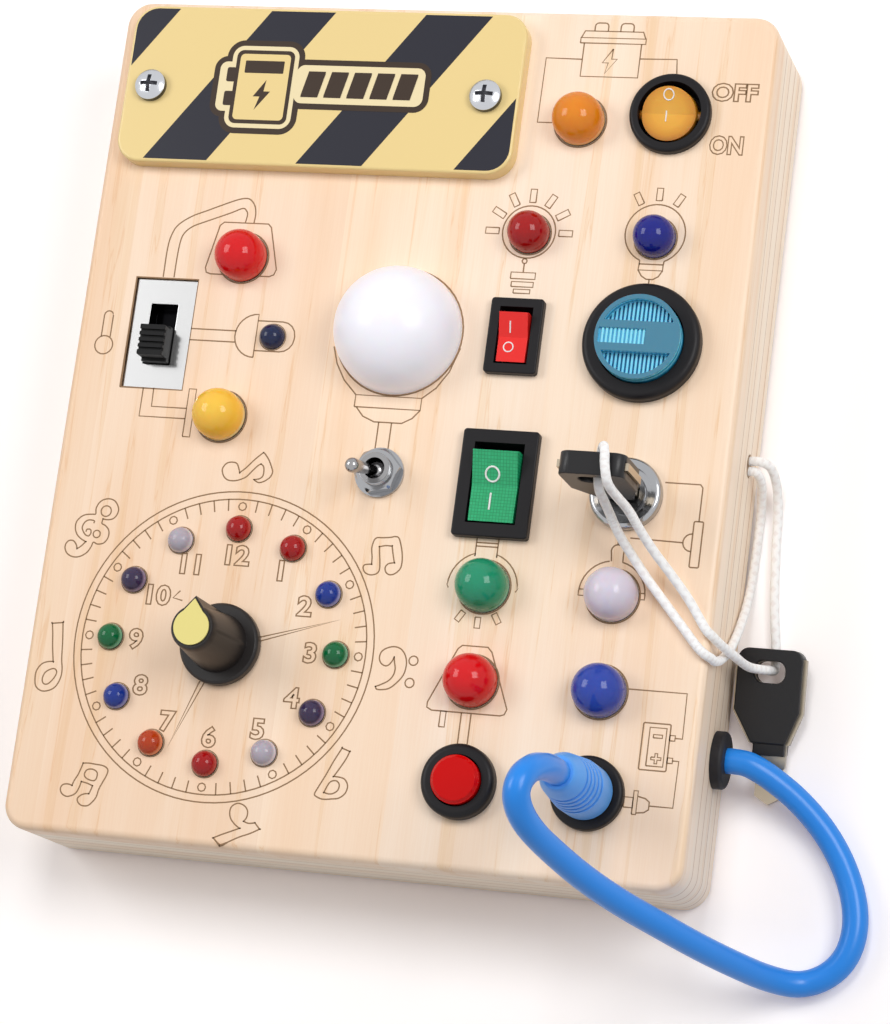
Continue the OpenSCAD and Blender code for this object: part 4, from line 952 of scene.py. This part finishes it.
# %% Lamp pictures
UPPER_BULB, RIGHT_BULB = (22.8, 39.6), (47.8, 40.3)
SHADE, BELL = (22.7, -31.0), (47.9, -30.4)
lamp_pictures = [
    # Desk lamp round the upper left lamp: the bent arm and the shade
    curved([(-51.1, 27), (-51.1, 33), (-50.6, 36), (-49.5, 38), (-47, 39.8), (-44, 41.1),
            (-38.5, 43.4), (-36.2, 44), (-35, 43.7), (-34, 42.5), (-33.6, 40.8), (-33.7, 39)]),
    curved([(-48.8, 27), (-48.8, 31), (-48.6, 34.5), (-48, 36.3), (-46.5, 37.7), (-44, 38.8),
            (-39, 40.8), (-36.5, 41.9), (-35.6, 41.4), (-35.3, 40.6), (-35.5, 39)]),
    [(-40.7, 38.2), (-39.9, 38.9), (-30.6, 38.9), (-29.9, 38.2), (-27.6, 29.6), (-28.0, 28.5),
     (-28.9, 28.1), (-41.2, 28.1), (-42.2, 28.4), (-42.5, 29.4), (-40.7, 38.2)],
    # Edge of the slide switch's pocket
    frame_line(-56.7, 4.0, -43.5, 26.8),
    # Torch beside the slide switch
    [(-43.6, 16.7), (-34, 16.7)],
    [(-43.6, 14.4), (-34, 14.4)],
    [(-29.8, 11.5), (-29.8, 20.3)] + arc(-29.8, 15.9, 4.4, 90, 270, 12)[1:],
    [(-29.8, 19), *arc(-24.6, 16.2, 2.8, 90, 0, 22), *arc(-24.6, 15.7, 2.8, 0, -90, 22),
     (-29.8, 12.9)],
    # Bracket of the yellow lamp
    frame_line(-42, -5.3, -40.5, 4.4),
    [(-51.7, 4.2), (-51.7, -1.7), (-42, -1.7)],
    [(-49.5, 4.2), (-49.4, 0.4), (-42, 0.4)],
    # Pull switch left of the slide switch
    ring(-61.5, 12.4, 1.9, 20),
    [(-60.4, 14.1), (-60.4, 18.6), *arc(-61.35, 18.5, 0.95, 0, 180, 30), (-62.3, 14.1)],
    # Bulb round the upper middle lamp
    ring(*UPPER_BULB, 5.3),
    ring(22.7, 33.7, 0.5, 45),
    [(22.7, 33.2), (22.7, 31.5)],
    frame_line(20.3, 30.1, 25.2, 31.4),
    frame_line(20.6, 28.5, 25.0, 29.5),
    frame_line(21.2, 27.2, 24.5, 28.0),
    # Bulb round the upper right lamp
    arc(*RIGHT_BULB, 5.9, -66, 246),
    [(45.4, 34.9), (45.4, 34.2), (45.3, 33.0), (50.1, 33.0), (50.1, 34.2), (50.2, 34.9)],
    [(45.3, 34.2), (50.1, 34.2)],
    [(45.3, 33.0), (46.1, 31.8), (47.1, 31.2), (48.4, 31.2), (49.4, 31.8), (50.1, 33.0)],
    [(47.7, 31.2), (47.7, 29.8)],
    # Bulb under the white dome
    [(-13.4, 14.6), (-12.3, 11.2), (-10.4, 8.0), (-7.6, 5.2)],
    [(12.2, 15.6), (10.6, 10.8), (8.4, 7.4), (5.8, 5.2)],
    frame_line(-7.6, 2.8, 5.8, 5.2),
    [(-7.2, 2.8), (-5.6, 1.0), (-3.2, 0), (2.4, 0), (4.4, 1.1), (5.8, 2.8)],
    [(-2.2, 0), (-2.2, -5.4)],
    [(0.4, 0), (0.4, -5.2)],
    # Shade of the green lamp
    [(20.5, -21.3), (20.5, -25.0)],
    [(24.8, -21.3), (24.8, -25.0)],
    [(20.5, -22.3), (24.8, -22.3)],
    [(20.5, -23.0), (24.8, -23.0)],
    [(16.1, -31.4), (15.6, -30.6)] + arc(*SHADE, 6.9, 180, 108, 9) + [(20.5, -25.0)],
    [(29.3, -31.4), (29.8, -30.6)] + arc(*SHADE, 6.9, 0, 72, 9) + [(24.8, -25.0)],
    # Bell of the milky lamp
    [(47.1, -24.1), *arc(48.1, -22.1, 1.25, 200, -20, 22), (49.3, -24.1)],
    [*arc(*BELL, 6.4, 100, 178, 9), (41.5, -31.0), (42.6, -31.0), (42.6, -29.8),
     (41.6, -29.8)],
    [*arc(*BELL, 6.4, 78, 2, 9), (54.3, -31.0), (53.2, -31.0), (53.2, -29.8),
     (54.2, -29.8)],
    [(48.0, -20.9), (48.0, -19.4)],
    # Shade, chain and stem of the lower red lamp
    [(19.6, -43.0), (20.4, -42.3), (25.4, -42.3), (26.3, -43.2), (30.6, -53.8), (30.2, -54.8),
     (29.4, -55.1), (16.0, -55.1), (15.0, -54.6), (15.0, -53.6), (19.6, -43.0)],
    frame_line(17.8, -58.1, 18.9, -55.1),
    [(21.9, -55.1), (21.9, -61.0)],
    [(23.8, -55.1), (23.8, -61.0)],
    # Frame round the plug's picture
    frame_line(56.7, -71.2, 57.5, -66.8),
    frame_line(55.0, -70.0, 56.7, -68.1),
    [(57.5, -67.8), (59.0, -68.1), (59.8, -68.7), (59.8, -70.1), (59.0, -70.7), (57.5, -70.9)],
]
lamp_pictures += rays(*UPPER_BULB, 6.0, 8.7, 0.62, range(0, 181, 30))
lamp_pictures += rays(*RIGHT_BULB, 6.7, 9.2, 0.6, (60, 90, 120))
lamp_pictures += rays(*SHADE, 5.7, 7.8, 0.55, (238, 270, 302))
engrave("engraved_lamp_pictures", lamp_pictures)

# %% [markdown]
# ### Wires, battery and bell
# The wires are single lines. The batteries are generic ones: a car battery with a bolt at the
# top, and a plain cell with its plus and minus at the bottom.

# %% Wires
BOLT = [(35.0, 77.5), (33.1, 74.6), (34.3, 74.6), (33.8, 72.4), (36.0, 75.4), (34.9, 75.4),
        (35.0, 77.5)]
wires = [
    # Battery at the top
    [(30.8, 81.1), *arc(31.5, 82.1, 0.7, 180, 90, 30), *arc(32.8, 82.1, 0.7, 90, 0, 30),
     (33.5, 81.1)],
    [(36.0, 81.1), *arc(36.7, 82.1, 0.7, 180, 90, 30), *arc(37.9, 82.1, 0.7, 90, 0, 30),
     (38.6, 81.1)],
    [(28.3, 79.7), (28.9, 81.1), (40.6, 81.1), (41.2, 79.7)],
    frame_line(28.2, 78.6, 41.3, 79.7),
    [(29.0, 78.6), (29.0, 71.7), (40.5, 71.7), (40.5, 78.6)],
    BOLT,
    [(29.0, 75.2), (21.7, 75.3), (21.6, 62.0), (24.9, 62.0)],
    [(40.5, 75.6), (47.9, 75.7), (48.2, 72.6)],
    # Bell push beside the lock
    [(55.6, -8.3), (62.4, -8.3), (62.9, -8.9), (62.9, -15.4)],
    frame_line(62.0, -24.2, 63.8, -15.4, 0.3),
    arc(62.0, -19.5, 1.7, 90, 270, 20),
    [(60.3, -19.6), (50.2, -19.4)],
    # Cell at the bottom
    [(53.4, -48.0), (64.5, -48.0), (64.6, -56.5), (63.3, -56.5)],
    frame_line(57.0, -62.8, 62.2, -54.0, 0.3),
    frame_line(58.3, -62.0, 61.5, -54.8),
    frame_line(62.2, -57.0, 63.2, -56.0),
    frame_line(62.2, -61.2, 63.2, -60.2),
    frame_line(59.1, -56.7, 60.8, -56.1),
    [(59.1, -60.3), (59.8, -60.3), (59.8, -59.6), (60.3, -59.6), (60.3, -60.3), (61.0, -60.3),
     (61.0, -60.8), (60.3, -60.8), (60.3, -61.5), (59.8, -61.5), (59.8, -60.8), (59.1, -60.8),
     (59.1, -60.3)],
    [(63.2, -60.7), (64.4, -60.7), (64.3, -69.4), (59.9, -69.4)],
]
engrave("engraved_wires", wires)

# %% [markdown]
# ### Clock ring
# The dial is a clock: two rings, a tick for every minute but the hours, a small ring at each
# hour, and two hands. Angles count clockwise from twelve o'clock.

# %% Clock ring
DIAL = (-27.4, -46.1)


def on_dial(degrees, radius):
    """A point on the dial, with degrees clockwise from twelve."""
    a = math.radians(90 - degrees)
    return DIAL[0] + radius * math.cos(a), DIAL[1] + radius * math.sin(a)


clock = [ring(*DIAL, 30.5, 4), ring(*DIAL, 29.0, 4)]
for minute in range(60):
    angle = 6 * minute
    if minute % 5:
        clock.append([on_dial(angle, 29.0), on_dial(angle, 26.7)])
    else:
        clock.append(ring(*on_dial(angle, 27.6), 0.8, 45))
clock += [
    [(-20.2, -43.9), (-4.4, -39.25), (-20.4, -44.8)],
    [(-30.0, -53.6), (-35.5, -66.6), (-30.9, -53.3)],
    [(-37.6, -36.0), (-38.9, -37.5), (-36.9, -37.9)],
]
engrave("engraved_clock", clock)

# %% [markdown]
# ### Figures and words
# Figures and the words ON and OFF are text with no fill, whose outline gets the same rod. Text
# is placed flat, turned into a mesh, and only then moved, so its place ends up in its vertices.


# %% Outlined text
def outlined(words, height, at, stretch):
    """Outline of a few signs, height in mm from foot to head, centred on a place. The stretch
    is along the line."""
    data = bpy.data.curves.new("words", "FONT")
    data.body, data.size = words, 1.0
    data.fill_mode = "NONE"
    data.resolution_u = 3
    # The burnt letters are a little plumper than the font's.
    data.offset = 0.035
    maker = bpy.data.objects.new("words", data)
    bpy.context.scene.collection.objects.link(maker)
    bpy.context.view_layer.update()
    graph = bpy.context.evaluated_depsgraph_get()
    flat = bpy.data.meshes.new_from_object(maker.evaluated_get(graph))
    low = [min(v.co[i] for v in flat.vertices) for i in (0, 1)]
    high = [max(v.co[i] for v in flat.vertices) for i in (0, 1)]
    bpy.data.meshes.remove(flat)
    scale = height * mm / (high[1] - low[1])
    data.bevel_depth = LINE_R * mm / scale
    data.bevel_resolution = 1
    made = mesh_of(maker, "words")
    made.data.transform(
        Matrix.Translation((at[0] * mm, at[1] * mm, (FACE - LINE_SINK) * mm))
        @ Matrix.Diagonal((scale * stretch, scale, scale, 1))
        @ Matrix.Translation((-(low[0] + high[0]) / 2, -(low[1] + high[1]) / 2, 0))
    )
    return made


def engrave_joined(name, pieces):
    """Joins mesh objects into one burnt piece."""
    whole = bmesh.new()
    for piece in pieces:
        whole.from_mesh(piece.data)
        bpy.data.objects.remove(piece)
    dress(object_of(name, whole), scorched, "case")


# The figures stand on a circle, and four of them stand a little to the right of it.
FIGURE_RING, FIGURE_HEIGHT = 17.9, 3.65
NUDGE = {1: 0.7, 5: 0.6, 10: 1.0, 12: 0.5}
figures = []
for hour in range(1, 13):
    x, y = on_dial(30 * hour, FIGURE_RING)
    figures.append(outlined(str(hour), FIGURE_HEIGHT, (x + NUDGE.get(hour, 0), y), 1.1))
engrave_joined("engraved_figures", figures)

words = [outlined("OFF", 3.3, (60.1, 69.3), 1.08), outlined("ON", 3.4, (59.6, 58.6), 0.86)]
engrave_joined("engraved_words", words)

# %% [markdown]
# ### Notes and clefs
# The notes and clefs on the toy are plump, rounded shapes, so they are drawn as smooth outlines
# through a few points that were read off the straightened photograph. Each list is one outline,
# and a point that stands twice makes a corner.

# %% Notes
EIGHTH = [
    (-32.7, -11.5), (-32.4, -10.6), (-31.8, -10.0), (-30.8, -9.8), (-29.9, -10.0), (-29.4, -10.8),
    (-29.0, -11.8), (-29.0, -11.8), (-27.9, -10.8), (-26.5, -9.2), (-25.3, -8.0), (-24.7, -7.5),
    (-24.7, -7.5), (-24.3, -7.8), (-23.4, -8.9), (-22.6, -10.4), (-22.3, -11.3), (-22.6, -12.2),
    (-23.3, -12.9), (-24.2, -13.4), (-25.0, -13.5), (-25.9, -13.0), (-25.9, -13.0), (-25.3, -12.9),
    (-24.7, -12.7), (-24.2, -12.2), (-24.1, -11.3), (-24.3, -10.3), (-24.9, -9.8), (-24.9, -9.8),
    (-25.5, -10.2), (-26.5, -11.3), (-27.5, -12.5), (-28.8, -13.2), (-30.0, -13.5), (-31.3, -13.4),
    (-32.2, -12.7),
]
TREBLE = [
    (-57.6, -22.0), (-57.7, -20.9), (-57.2, -19.7), (-56.3, -19.0), (-55.0, -18.8), (-53.8, -19.3),
    (-53.0, -20.6), (-53.1, -21.8), (-53.8, -22.7), (-54.9, -23.0), (-55.9, -22.9), (-55.9, -22.9),
    (-56.0, -23.8), (-55.2, -24.2), (-54.4, -25.0), (-54.2, -26.1), (-54.5, -27.1), (-55.2, -27.8),
    (-56.3, -28.0), (-57.2, -27.7), (-57.5, -28.6), (-58.2, -29.8), (-59.5, -30.7), (-60.9, -30.9),
    (-62.2, -30.4), (-62.9, -29.4), (-62.9, -28.4), (-62.3, -27.7), (-61.4, -27.7), (-60.7, -28.4),
    (-60.4, -29.2), (-60.4, -29.2), (-59.7, -28.7), (-58.8, -27.7), (-58.8, -27.7), (-60.0, -27.1),
    (-60.9, -26.3), (-61.4, -25.2), (-61.4, -23.9), (-60.7, -22.9), (-59.7, -22.3), (-58.2, -22.1),
]
TREBLE_COIL = [
    (-57.7, -23.9), (-57.7, -23.4), (-58.8, -23.3), (-59.6, -23.8), (-60.0, -24.8), (-59.7, -25.6),
    (-59.1, -26.3), (-58.4, -26.5), (-58.0, -25.9), (-58.2, -25.2), (-58.9, -25.2), (-59.1, -25.7),
]
HALF = [
    (-63.1, -44.4), (-63.1, -44.4), (-60.9, -44.1), (-60.9, -44.1), (-60.4, -47.6), (-60.0, -51.3),
    (-59.6, -53.2), (-59.6, -54.8), (-60.2, -56.5), (-61.3, -57.5), (-63.0, -57.9), (-64.4, -57.2),
    (-64.9, -55.8), (-64.9, -54.1), (-64.1, -52.7), (-63.0, -52.1), (-61.7, -51.9), (-61.7, -51.9),
    (-62.3, -49.0), (-62.7, -46.4),
]
HALF_EYE = [
    (-63.4, -55.5), (-63.0, -56.4), (-62.1, -56.4), (-61.1, -55.3), (-60.6, -54.1), (-61.0, -53.4),
    (-61.8, -53.4), (-63.0, -54.2),
]
DOUBLE_BEAM = [
    (-52.2, -71.2), (-52.2, -71.2), (-51.0, -71.1), (-49.7, -71.2), (-48.3, -71.3), (-47.4, -71.6),
    (-46.9, -72.2), (-47.1, -73.3), (-47.7, -74.7), (-48.2, -76.0), (-48.5, -77.5), (-49.2, -78.6),
    (-50.0, -79.3), (-51.1, -79.4), (-51.9, -79.0), (-52.3, -78.2), (-51.8, -77.5), (-51.0, -77.1),
    (-50.1, -77.0), (-50.1, -77.0), (-49.8, -76.2), (-49.6, -75.4), (-49.6, -75.4), (-50.8, -75.0),
    (-52.0, -74.8), (-52.0, -74.8), (-52.3, -76.0), (-52.8, -77.1), (-53.7, -77.7), (-54.7, -77.9),
    (-55.7, -77.4), (-56.1, -76.5), (-55.7, -75.7), (-54.7, -75.5), (-53.8, -75.7), (-53.8, -75.7),
    (-53.5, -74.7), (-52.9, -73.5), (-52.5, -72.3),
]
BEAM_GAP = [
    (-51.3, -72.5), (-50.2, -72.2), (-49.1, -72.7), (-49.0, -73.8), (-49.5, -74.4), (-50.8, -74.2),
    (-51.6, -73.5),
]
QUARTER = [
    (-23.6, -83.1), (-23.6, -83.1), (-22.0, -82.3), (-20.4, -81.6), (-18.6, -80.8), (-18.6, -80.8),
    (-19.6, -80.2), (-20.6, -79.2), (-21.0, -78.1), (-20.9, -77.0), (-20.2, -76.3), (-19.3, -76.1),
    (-18.2, -76.5), (-17.5, -77.4), (-17.5, -78.6), (-18.0, -79.4), (-18.0, -79.4), (-17.0, -79.7),
    (-15.7, -79.5), (-15.7, -79.5), (-14.6, -80.6), (-14.6, -80.6), (-16.4, -81.6), (-18.5, -82.5),
    (-20.7, -83.7), (-22.1, -84.4), (-22.1, -84.4), (-22.9, -83.7),
]
FLAT = [
    (-0.5, -63.8), (-0.5, -63.8), (1.1, -64.3), (1.1, -64.3), (0.6, -65.7), (-0.4, -67.6),
    (-1.4, -69.3), (-1.4, -69.3), (0.1, -69.4), (1.0, -69.8), (1.6, -70.9), (1.3, -72.3),
    (0.2, -73.3), (-1.2, -73.6), (-3.0, -73.8), (-4.3, -73.4), (-4.7, -72.9), (-4.1, -71.5),
    (-3.0, -69.2), (-1.8, -66.4),
]
FLAT_EYE = [
    (-2.9, -72.5), (-2.9, -72.5), (-2.4, -71.2), (-1.8, -70.3), (-0.8, -70.1), (-0.1, -70.7),
    (-0.2, -71.8), (-1.0, -72.5), (-1.9, -72.7),
]
BASS = [
    (7.3, -45.6), (7.3, -45.6), (7.5, -46.6), (7.8, -47.8), (7.6, -49.1), (6.8, -50.2),
    (5.5, -51.0), (4.4, -51.5), (4.4, -51.5), (4.7, -52.0), (5.8, -52.0), (7.2, -51.6),
    (8.6, -50.3), (9.6, -48.8), (9.9, -46.9), (9.5, -45.2), (8.5, -44.0), (7.2, -43.6),
    (5.8, -43.9), (4.7, -44.7), (4.4, -45.9), (4.8, -46.9), (5.7, -47.4), (6.4, -47.2),
    (7.0, -46.4),
]
BEAMED = [
    (0.1, -23.5), (0.6, -22.8), (1.8, -22.7), (3.5, -22.5), (4.2, -22.3), (5.0, -22.5),
    (5.6, -23.8), (6.1, -25.5), (6.3, -27.2), (6.1, -28.5), (5.2, -29.5), (4.2, -29.8),
    (3.4, -29.4), (3.1, -28.5), (3.6, -27.7), (4.8, -27.4), (4.8, -27.4), (4.4, -26.1),
    (3.9, -24.2), (3.9, -24.2), (2.6, -24.2), (1.4, -24.5), (1.4, -24.5), (1.6, -25.8),
    (1.9, -27.5), (2.0, -29.0), (1.5, -29.8), (0.3, -30.1), (-0.8, -29.7), (-1.3, -28.8),
    (-1.0, -28.2), (0.3, -28.0), (0.3, -28.0), (0.2, -26.6), (-0.1, -24.9),
]
OUTLINES = (
    EIGHTH, TREBLE, HALF, HALF_EYE, DOUBLE_BEAM, BEAM_GAP, QUARTER, FLAT, FLAT_EYE, BASS, BEAMED
)
notes = [curved(outline, closed=True) for outline in OUTLINES]
notes.append(curved(TREBLE_COIL))
for x, y, radius, step in (
    (-55.5, -21.3, 1.07, 20), (-56.75, -26.0, 0.75, 30), (11.2, -46.0, 0.9, 30),
    (11.0, -50.3, 0.9, 30),
):
    notes.append(ring(x, y, radius, step))
engrave("engraved_notes", notes)

# %% [markdown]
# ## The sign
# A flat plate with black diagonal stripes covers the batteries. The stripes are a common safety
# pattern, printed on the plate's top together with a generic battery and a row of level bars.
# Each printed area is a thin sheet that starts as the plate's own outline and is cut by planes,
# so it always ends at the edge.


# %% Printed sheets
SIGN = (-22.85, 66.35)
SIGN_W, SIGN_H, SIGN_TOP = 82.5, 33.0, 30.5
PRINT_INSET = 0.62


def sheet_mesh(width, height, radius, centre, level):
    """A flat sheet with round corners, in metres, as a bmesh."""
    sheet = bmesh.new()
    bmesh.ops.create_grid(sheet, x_segments=1, y_segments=1, size=0.5)
    bmesh.ops.scale(sheet, verts=sheet.verts, vec=(width * mm, height * mm, 1))
    if radius:
        bmesh.ops.bevel(
            sheet,
            geom=list(sheet.verts),
            offset=radius * mm,
            segments=8,
            profile=0.5,
            affect="VERTICES",
            material=-1,
        )
    bmesh.ops.translate(sheet, verts=sheet.verts, vec=(centre[0] * mm, centre[1] * mm, level * mm))
    return sheet


def banded(sheet, left, right, middle, slant):
    """Keeps what lies between two slanting lines, given by their places at the middle's height."""
    for x, side in ((left, -1), (right, 1)):
        bmesh.ops.bisect_plane(
            sheet,
            geom=list(sheet.verts) + list(sheet.edges) + list(sheet.faces),
            plane_co=(x * mm, middle * mm, 0),
            plane_no=(side, -side * slant, 0),
            clear_outer=True,
        )
    return sheet


INK = 0.02


def printed(name, sheets, finish):
    """Gives flat sheets a little thickness and makes them one piece on the sign."""
    whole = bmesh.new()
    for sheet in sheets:
        raised = bmesh.ops.extrude_face_region(sheet, geom=list(sheet.faces))
        moved = [v for v in raised["geom"] if isinstance(v, bmesh.types.BMVert)]
        bmesh.ops.translate(sheet, verts=moved, vec=(0, 0, INK * mm))
        bmesh.ops.recalc_face_normals(sheet, faces=sheet.faces)
        part = bpy.data.meshes.new("part")
        sheet.to_mesh(part)
        sheet.free()
        whole.from_mesh(part)
        bpy.data.meshes.remove(part)
    dress(object_of(name, whole), finish, "case")


# Each stripe leans by the same slant and runs between two places on the plate's middle line.
SLANT = 0.717
STRIPES = ((-80.0, -66.0), (-46.5, -33.0), (-14.2, -0.5), (18.4, 33.0))
STRIPE_SHEET = (SIGN_W - 2 * PRINT_INSET, SIGN_H - 2 * PRINT_INSET, 4.4, SIGN, SIGN_TOP + 0.005)
stripes = [
    banded(sheet_mesh(*STRIPE_SHEET), left, right, SIGN[1], SLANT) for left, right in STRIPES
]
printed("printed_stripes", stripes, sign_black)

# %% [markdown]
# ### The battery badge
# The badge has a dark outline, a cream field and a battery with a bolt on it. Its layers are
# sheets like those of the stripes, each on a level of its own, because two sheets on the same
# level would flicker where they overlap.


# %% Badge
def filled(outline, level):
    """A flat sheet inside an outline: a 2-D curve fills itself, then becomes a mesh."""
    data = bpy.data.curves.new("sheet", "CURVE")
    data.dimensions, data.fill_mode = "2D", "BOTH"
    spline = data.splines.new("POLY")
    spline.points.add(len(outline) - 1)
    for point, (x, y) in zip(spline.points, outline):
        point.co = (x * mm, y * mm, 0, 1)
    spline.use_cyclic_u = True
    maker = bpy.data.objects.new("sheet", data)
    bpy.context.scene.collection.objects.link(maker)
    bpy.context.view_layer.update()
    flat = mesh_of(maker, "sheet")
    # The other sheets have no UV map, and a joined one would be unset on them.
    flat.data.uv_layers.remove(flat.data.uv_layers[0])
    sheet = bmesh.new()
    sheet.from_mesh(flat.data)
    bpy.data.objects.remove(flat)
    bmesh.ops.remove_doubles(sheet, verts=sheet.verts, dist=0.001 * mm)
    bmesh.ops.translate(sheet, verts=sheet.verts, vec=(0, 0, level * mm))
    return sheet


# The battery, its terminals' block and the row of bars: width, height, corner radius, middle
CELL = (12.2, 15.4, 1.4, (-34.9, 66.1))
BLOCK = (3.4, 8.6, 0.6, (-41.6, 66.1))
ROW = (25.0, 6.2, 0.8, (-14.6, 67.0))
# Levels over the plate, in mm. Where two sheets of one layer overlap, one lies a hair higher.
OUTLINE_AT, FIELD_AT, CELL_AT, WINDOW_AT, MARKS_AT = 0.02, 0.065, 0.11, 0.135, 0.16
HAIR = 0.012
# The outline and the field are the same three sheets, grown by a little more or less.
for name, finish, grow, level in (
    ("badge_outline", sign_brown, 2.1, SIGN_TOP + OUTLINE_AT),
    ("badge_field", sign_cream, 0.9, SIGN_TOP + FIELD_AT),
):
    sheets = [
        sheet_mesh(w + 2 * grow, h + 2 * grow, radius + grow, centre, level + HAIR * i)
        for i, (w, h, radius, centre) in enumerate((CELL, BLOCK, ROW))
    ]
    printed(name, sheets, finish)

shell = [sheet_mesh(*CELL, SIGN_TOP + CELL_AT)]
for y in (63.6, 68.6):
    shell.append(sheet_mesh(1.9, 3.0, 0.4, (-41.7, y), SIGN_TOP + CELL_AT + HAIR))
printed("badge_battery", shell, sign_brown)
window = sheet_mesh(10.6, 13.8, 0.9, CELL[3], SIGN_TOP + WINDOW_AT)
printed("badge_battery_field", [window], sign_yellow)

FLASH = [(-34.1, 67.6), (-36.5, 64.1), (-35.1, 64.1), (-35.9, 61.3), (-33.0, 65.2), (-34.4, 65.2)]
MARK_LEVEL = SIGN_TOP + MARKS_AT
marks = [sheet_mesh(8.2, 2.6, 0.2, (-34.9, 70.3), MARK_LEVEL), filled(FLASH, MARK_LEVEL)]
# Five level bars, 4.8 mm apart and 3.6 mm wide, that lean a little
FIRST_BAR, BAR_STEP, BAR_HALF, BAR_SLANT, BARS_Y = -24.2, 4.8, 1.8, 0.22, 67.0
for i in range(5):
    x = FIRST_BAR + BAR_STEP * i
    bar = sheet_mesh(4.6, 5.4, 0, (x, BARS_Y), MARK_LEVEL)
    marks.append(banded(bar, x - BAR_HALF, x + BAR_HALF, BARS_Y, BAR_SLANT))
printed("badge_marks", marks, sign_brown)

# %% [markdown]
# ## Marks on the rockers
# Each rocker carries a bar at one end and a ring at the other, pad-printed in white. A rocker's
# top is bent, so flat marks would sink in or float. Each mark is dropped onto the rocker: every
# point is moved down to the surface under it.


# %% Rocker marks
ABOVE = 100
PAINT_LIFT = 0.02


def dropped(colour, strokes, radius):
    """Rods that follow strokes over the top of a rocker and ride on it."""
    node = f"{colour}_rocker"
    source = cad[node].data
    surface = BVHTree.FromPolygons(
        [v.co for v in source.vertices], [p.vertices for p in source.polygons]
    )
    down = Vector((0, 0, -1))
    lines = []
    for stroke in strokes:
        line = []
        for x, y in stroke:
            hit = surface.ray_cast(Vector((x * mm, y * mm, ABOVE * mm)), down)[0]
            line.append((x * mm, y * mm, hit.z + PAINT_LIFT * mm))
        lines.append(line)
    name = f"{colour}_rocker_marks"
    made = mesh_of(curve_object(name, lines, radius * mm), name)
    dress(made, white_paint, node)


def bar_line(x, y, length):
    """Points close together along a short upright bar, so that it can follow a bend."""
    return [(x, y + length * (i / 6 - 0.5)) for i in range(7)]


dropped("amber", [ring(48.0, 67.3, 1.0, 24), bar_line(47.6, 63.4, 2.1)], 0.14)
dropped("red", [bar_line(22.3, 19.7, 2.1), ring(22.2, 15.9, 0.95, 24)], 0.14)
dropped("green", [ring(22.7, -9.5, 1.35, 20), bar_line(22.6, -14.6, 3.3)], 0.2)

# %% [markdown]
# ## Burnt rims and painted gap shade
# The laser also cut the holes, so each one has a thin brown rim. The rims are also painted shade
# for the narrow gap between each lamp and its hole. A ring is a small circle spun once round an
# axis. The spin's last step meets its first, and its doubles are merged.


# %% Rings
RING_STEPS = 48


def ring_mesh(whole, centre, radius, thickness, sides):
    """Adds a torus to a bmesh: a small circle spun a full turn about +Z. Sizes in mm."""
    start = Vector((centre[0] + radius, centre[1], centre[2])) * mm
    made = bmesh.ops.create_circle(
        whole, segments=sides, radius=thickness * mm,
        matrix=Matrix.Translation(start) @ Matrix.Rotation(math.radians(90), 4, "X"),
    )
    edges = list({e for v in made["verts"] for e in v.link_edges})
    bmesh.ops.spin(
        whole, geom=made["verts"] + edges, cent=Vector(centre) * mm, axis=(0, 0, 1),
        angle=math.tau, steps=RING_STEPS, use_merge=True,
    )


def rings_piece(name, rows, finish, sides=8):
    """One piece of several rings on the case, each (x, y, z, radius, thickness) in mm."""
    whole = bmesh.new()
    for x, y, z, radius, thickness in rows:
        ring_mesh(whole, (x, y, z), radius, thickness, sides)
    bmesh.ops.remove_doubles(whole, verts=whole.verts, dist=0.001 * mm)
    bmesh.ops.recalc_face_normals(whole, faces=whole.faces)
    made = object_of(name, whole)
    smooth_shaded(made)
    dress(made, finish, "case")


LARGE = ((-34.8, 31.7), (23.2, -49.1), (-34.5, -0.8), (30.2, 62.4), (23.1, -30.8),
         (48.2, -30.7), (48.1, -49))
MEDIUM = ((23.1, 39.2), (48, 39.4))
SMALL = [(-26.3, 15.8)] + [on_dial(30 * h, 23.1) for h in range(12)]
RIM_LEVEL = FACE - 0.12
burnt_and_shaded_rims = [
    (x, y, RIM_LEVEL, radius, thickness)
    for holes, radius, thickness in ((LARGE, 5.25, 0.2), (MEDIUM, 4.22, 0.18), (SMALL, 2.7, 0.16))
    for x, y in holes
]
DOME_RIM = (-0.5, 18.2, FACE - 0.14, 12.8, 0.22)
burnt_and_shaded_rims.append(DOME_RIM)
# Painted shade: the dark rims also stand for the shadow in the gap round each lamp.
rings_piece("burnt_rims_and_painted_gap_shade", burnt_and_shaded_rims, scorched)

# %% [markdown]
# ## Thread of the toggle
# The toggle's bushing has a fine thread, and three turns of it show above the nut. From a step
# away a stack of thin rings can't be told from a helix.

# %% Toggle thread
TOGGLE, FIRST_TURN, TURN_STEP = (-0.5, -10.1), FACE + 3, 0.42
THREAD_R, CREST_R = 3.02, 0.16
thread = [(*TOGGLE, FIRST_TURN + TURN_STEP * i, THREAD_R, CREST_R) for i in range(3)]
rings_piece("toggle_thread", thread, chrome, sides=6)
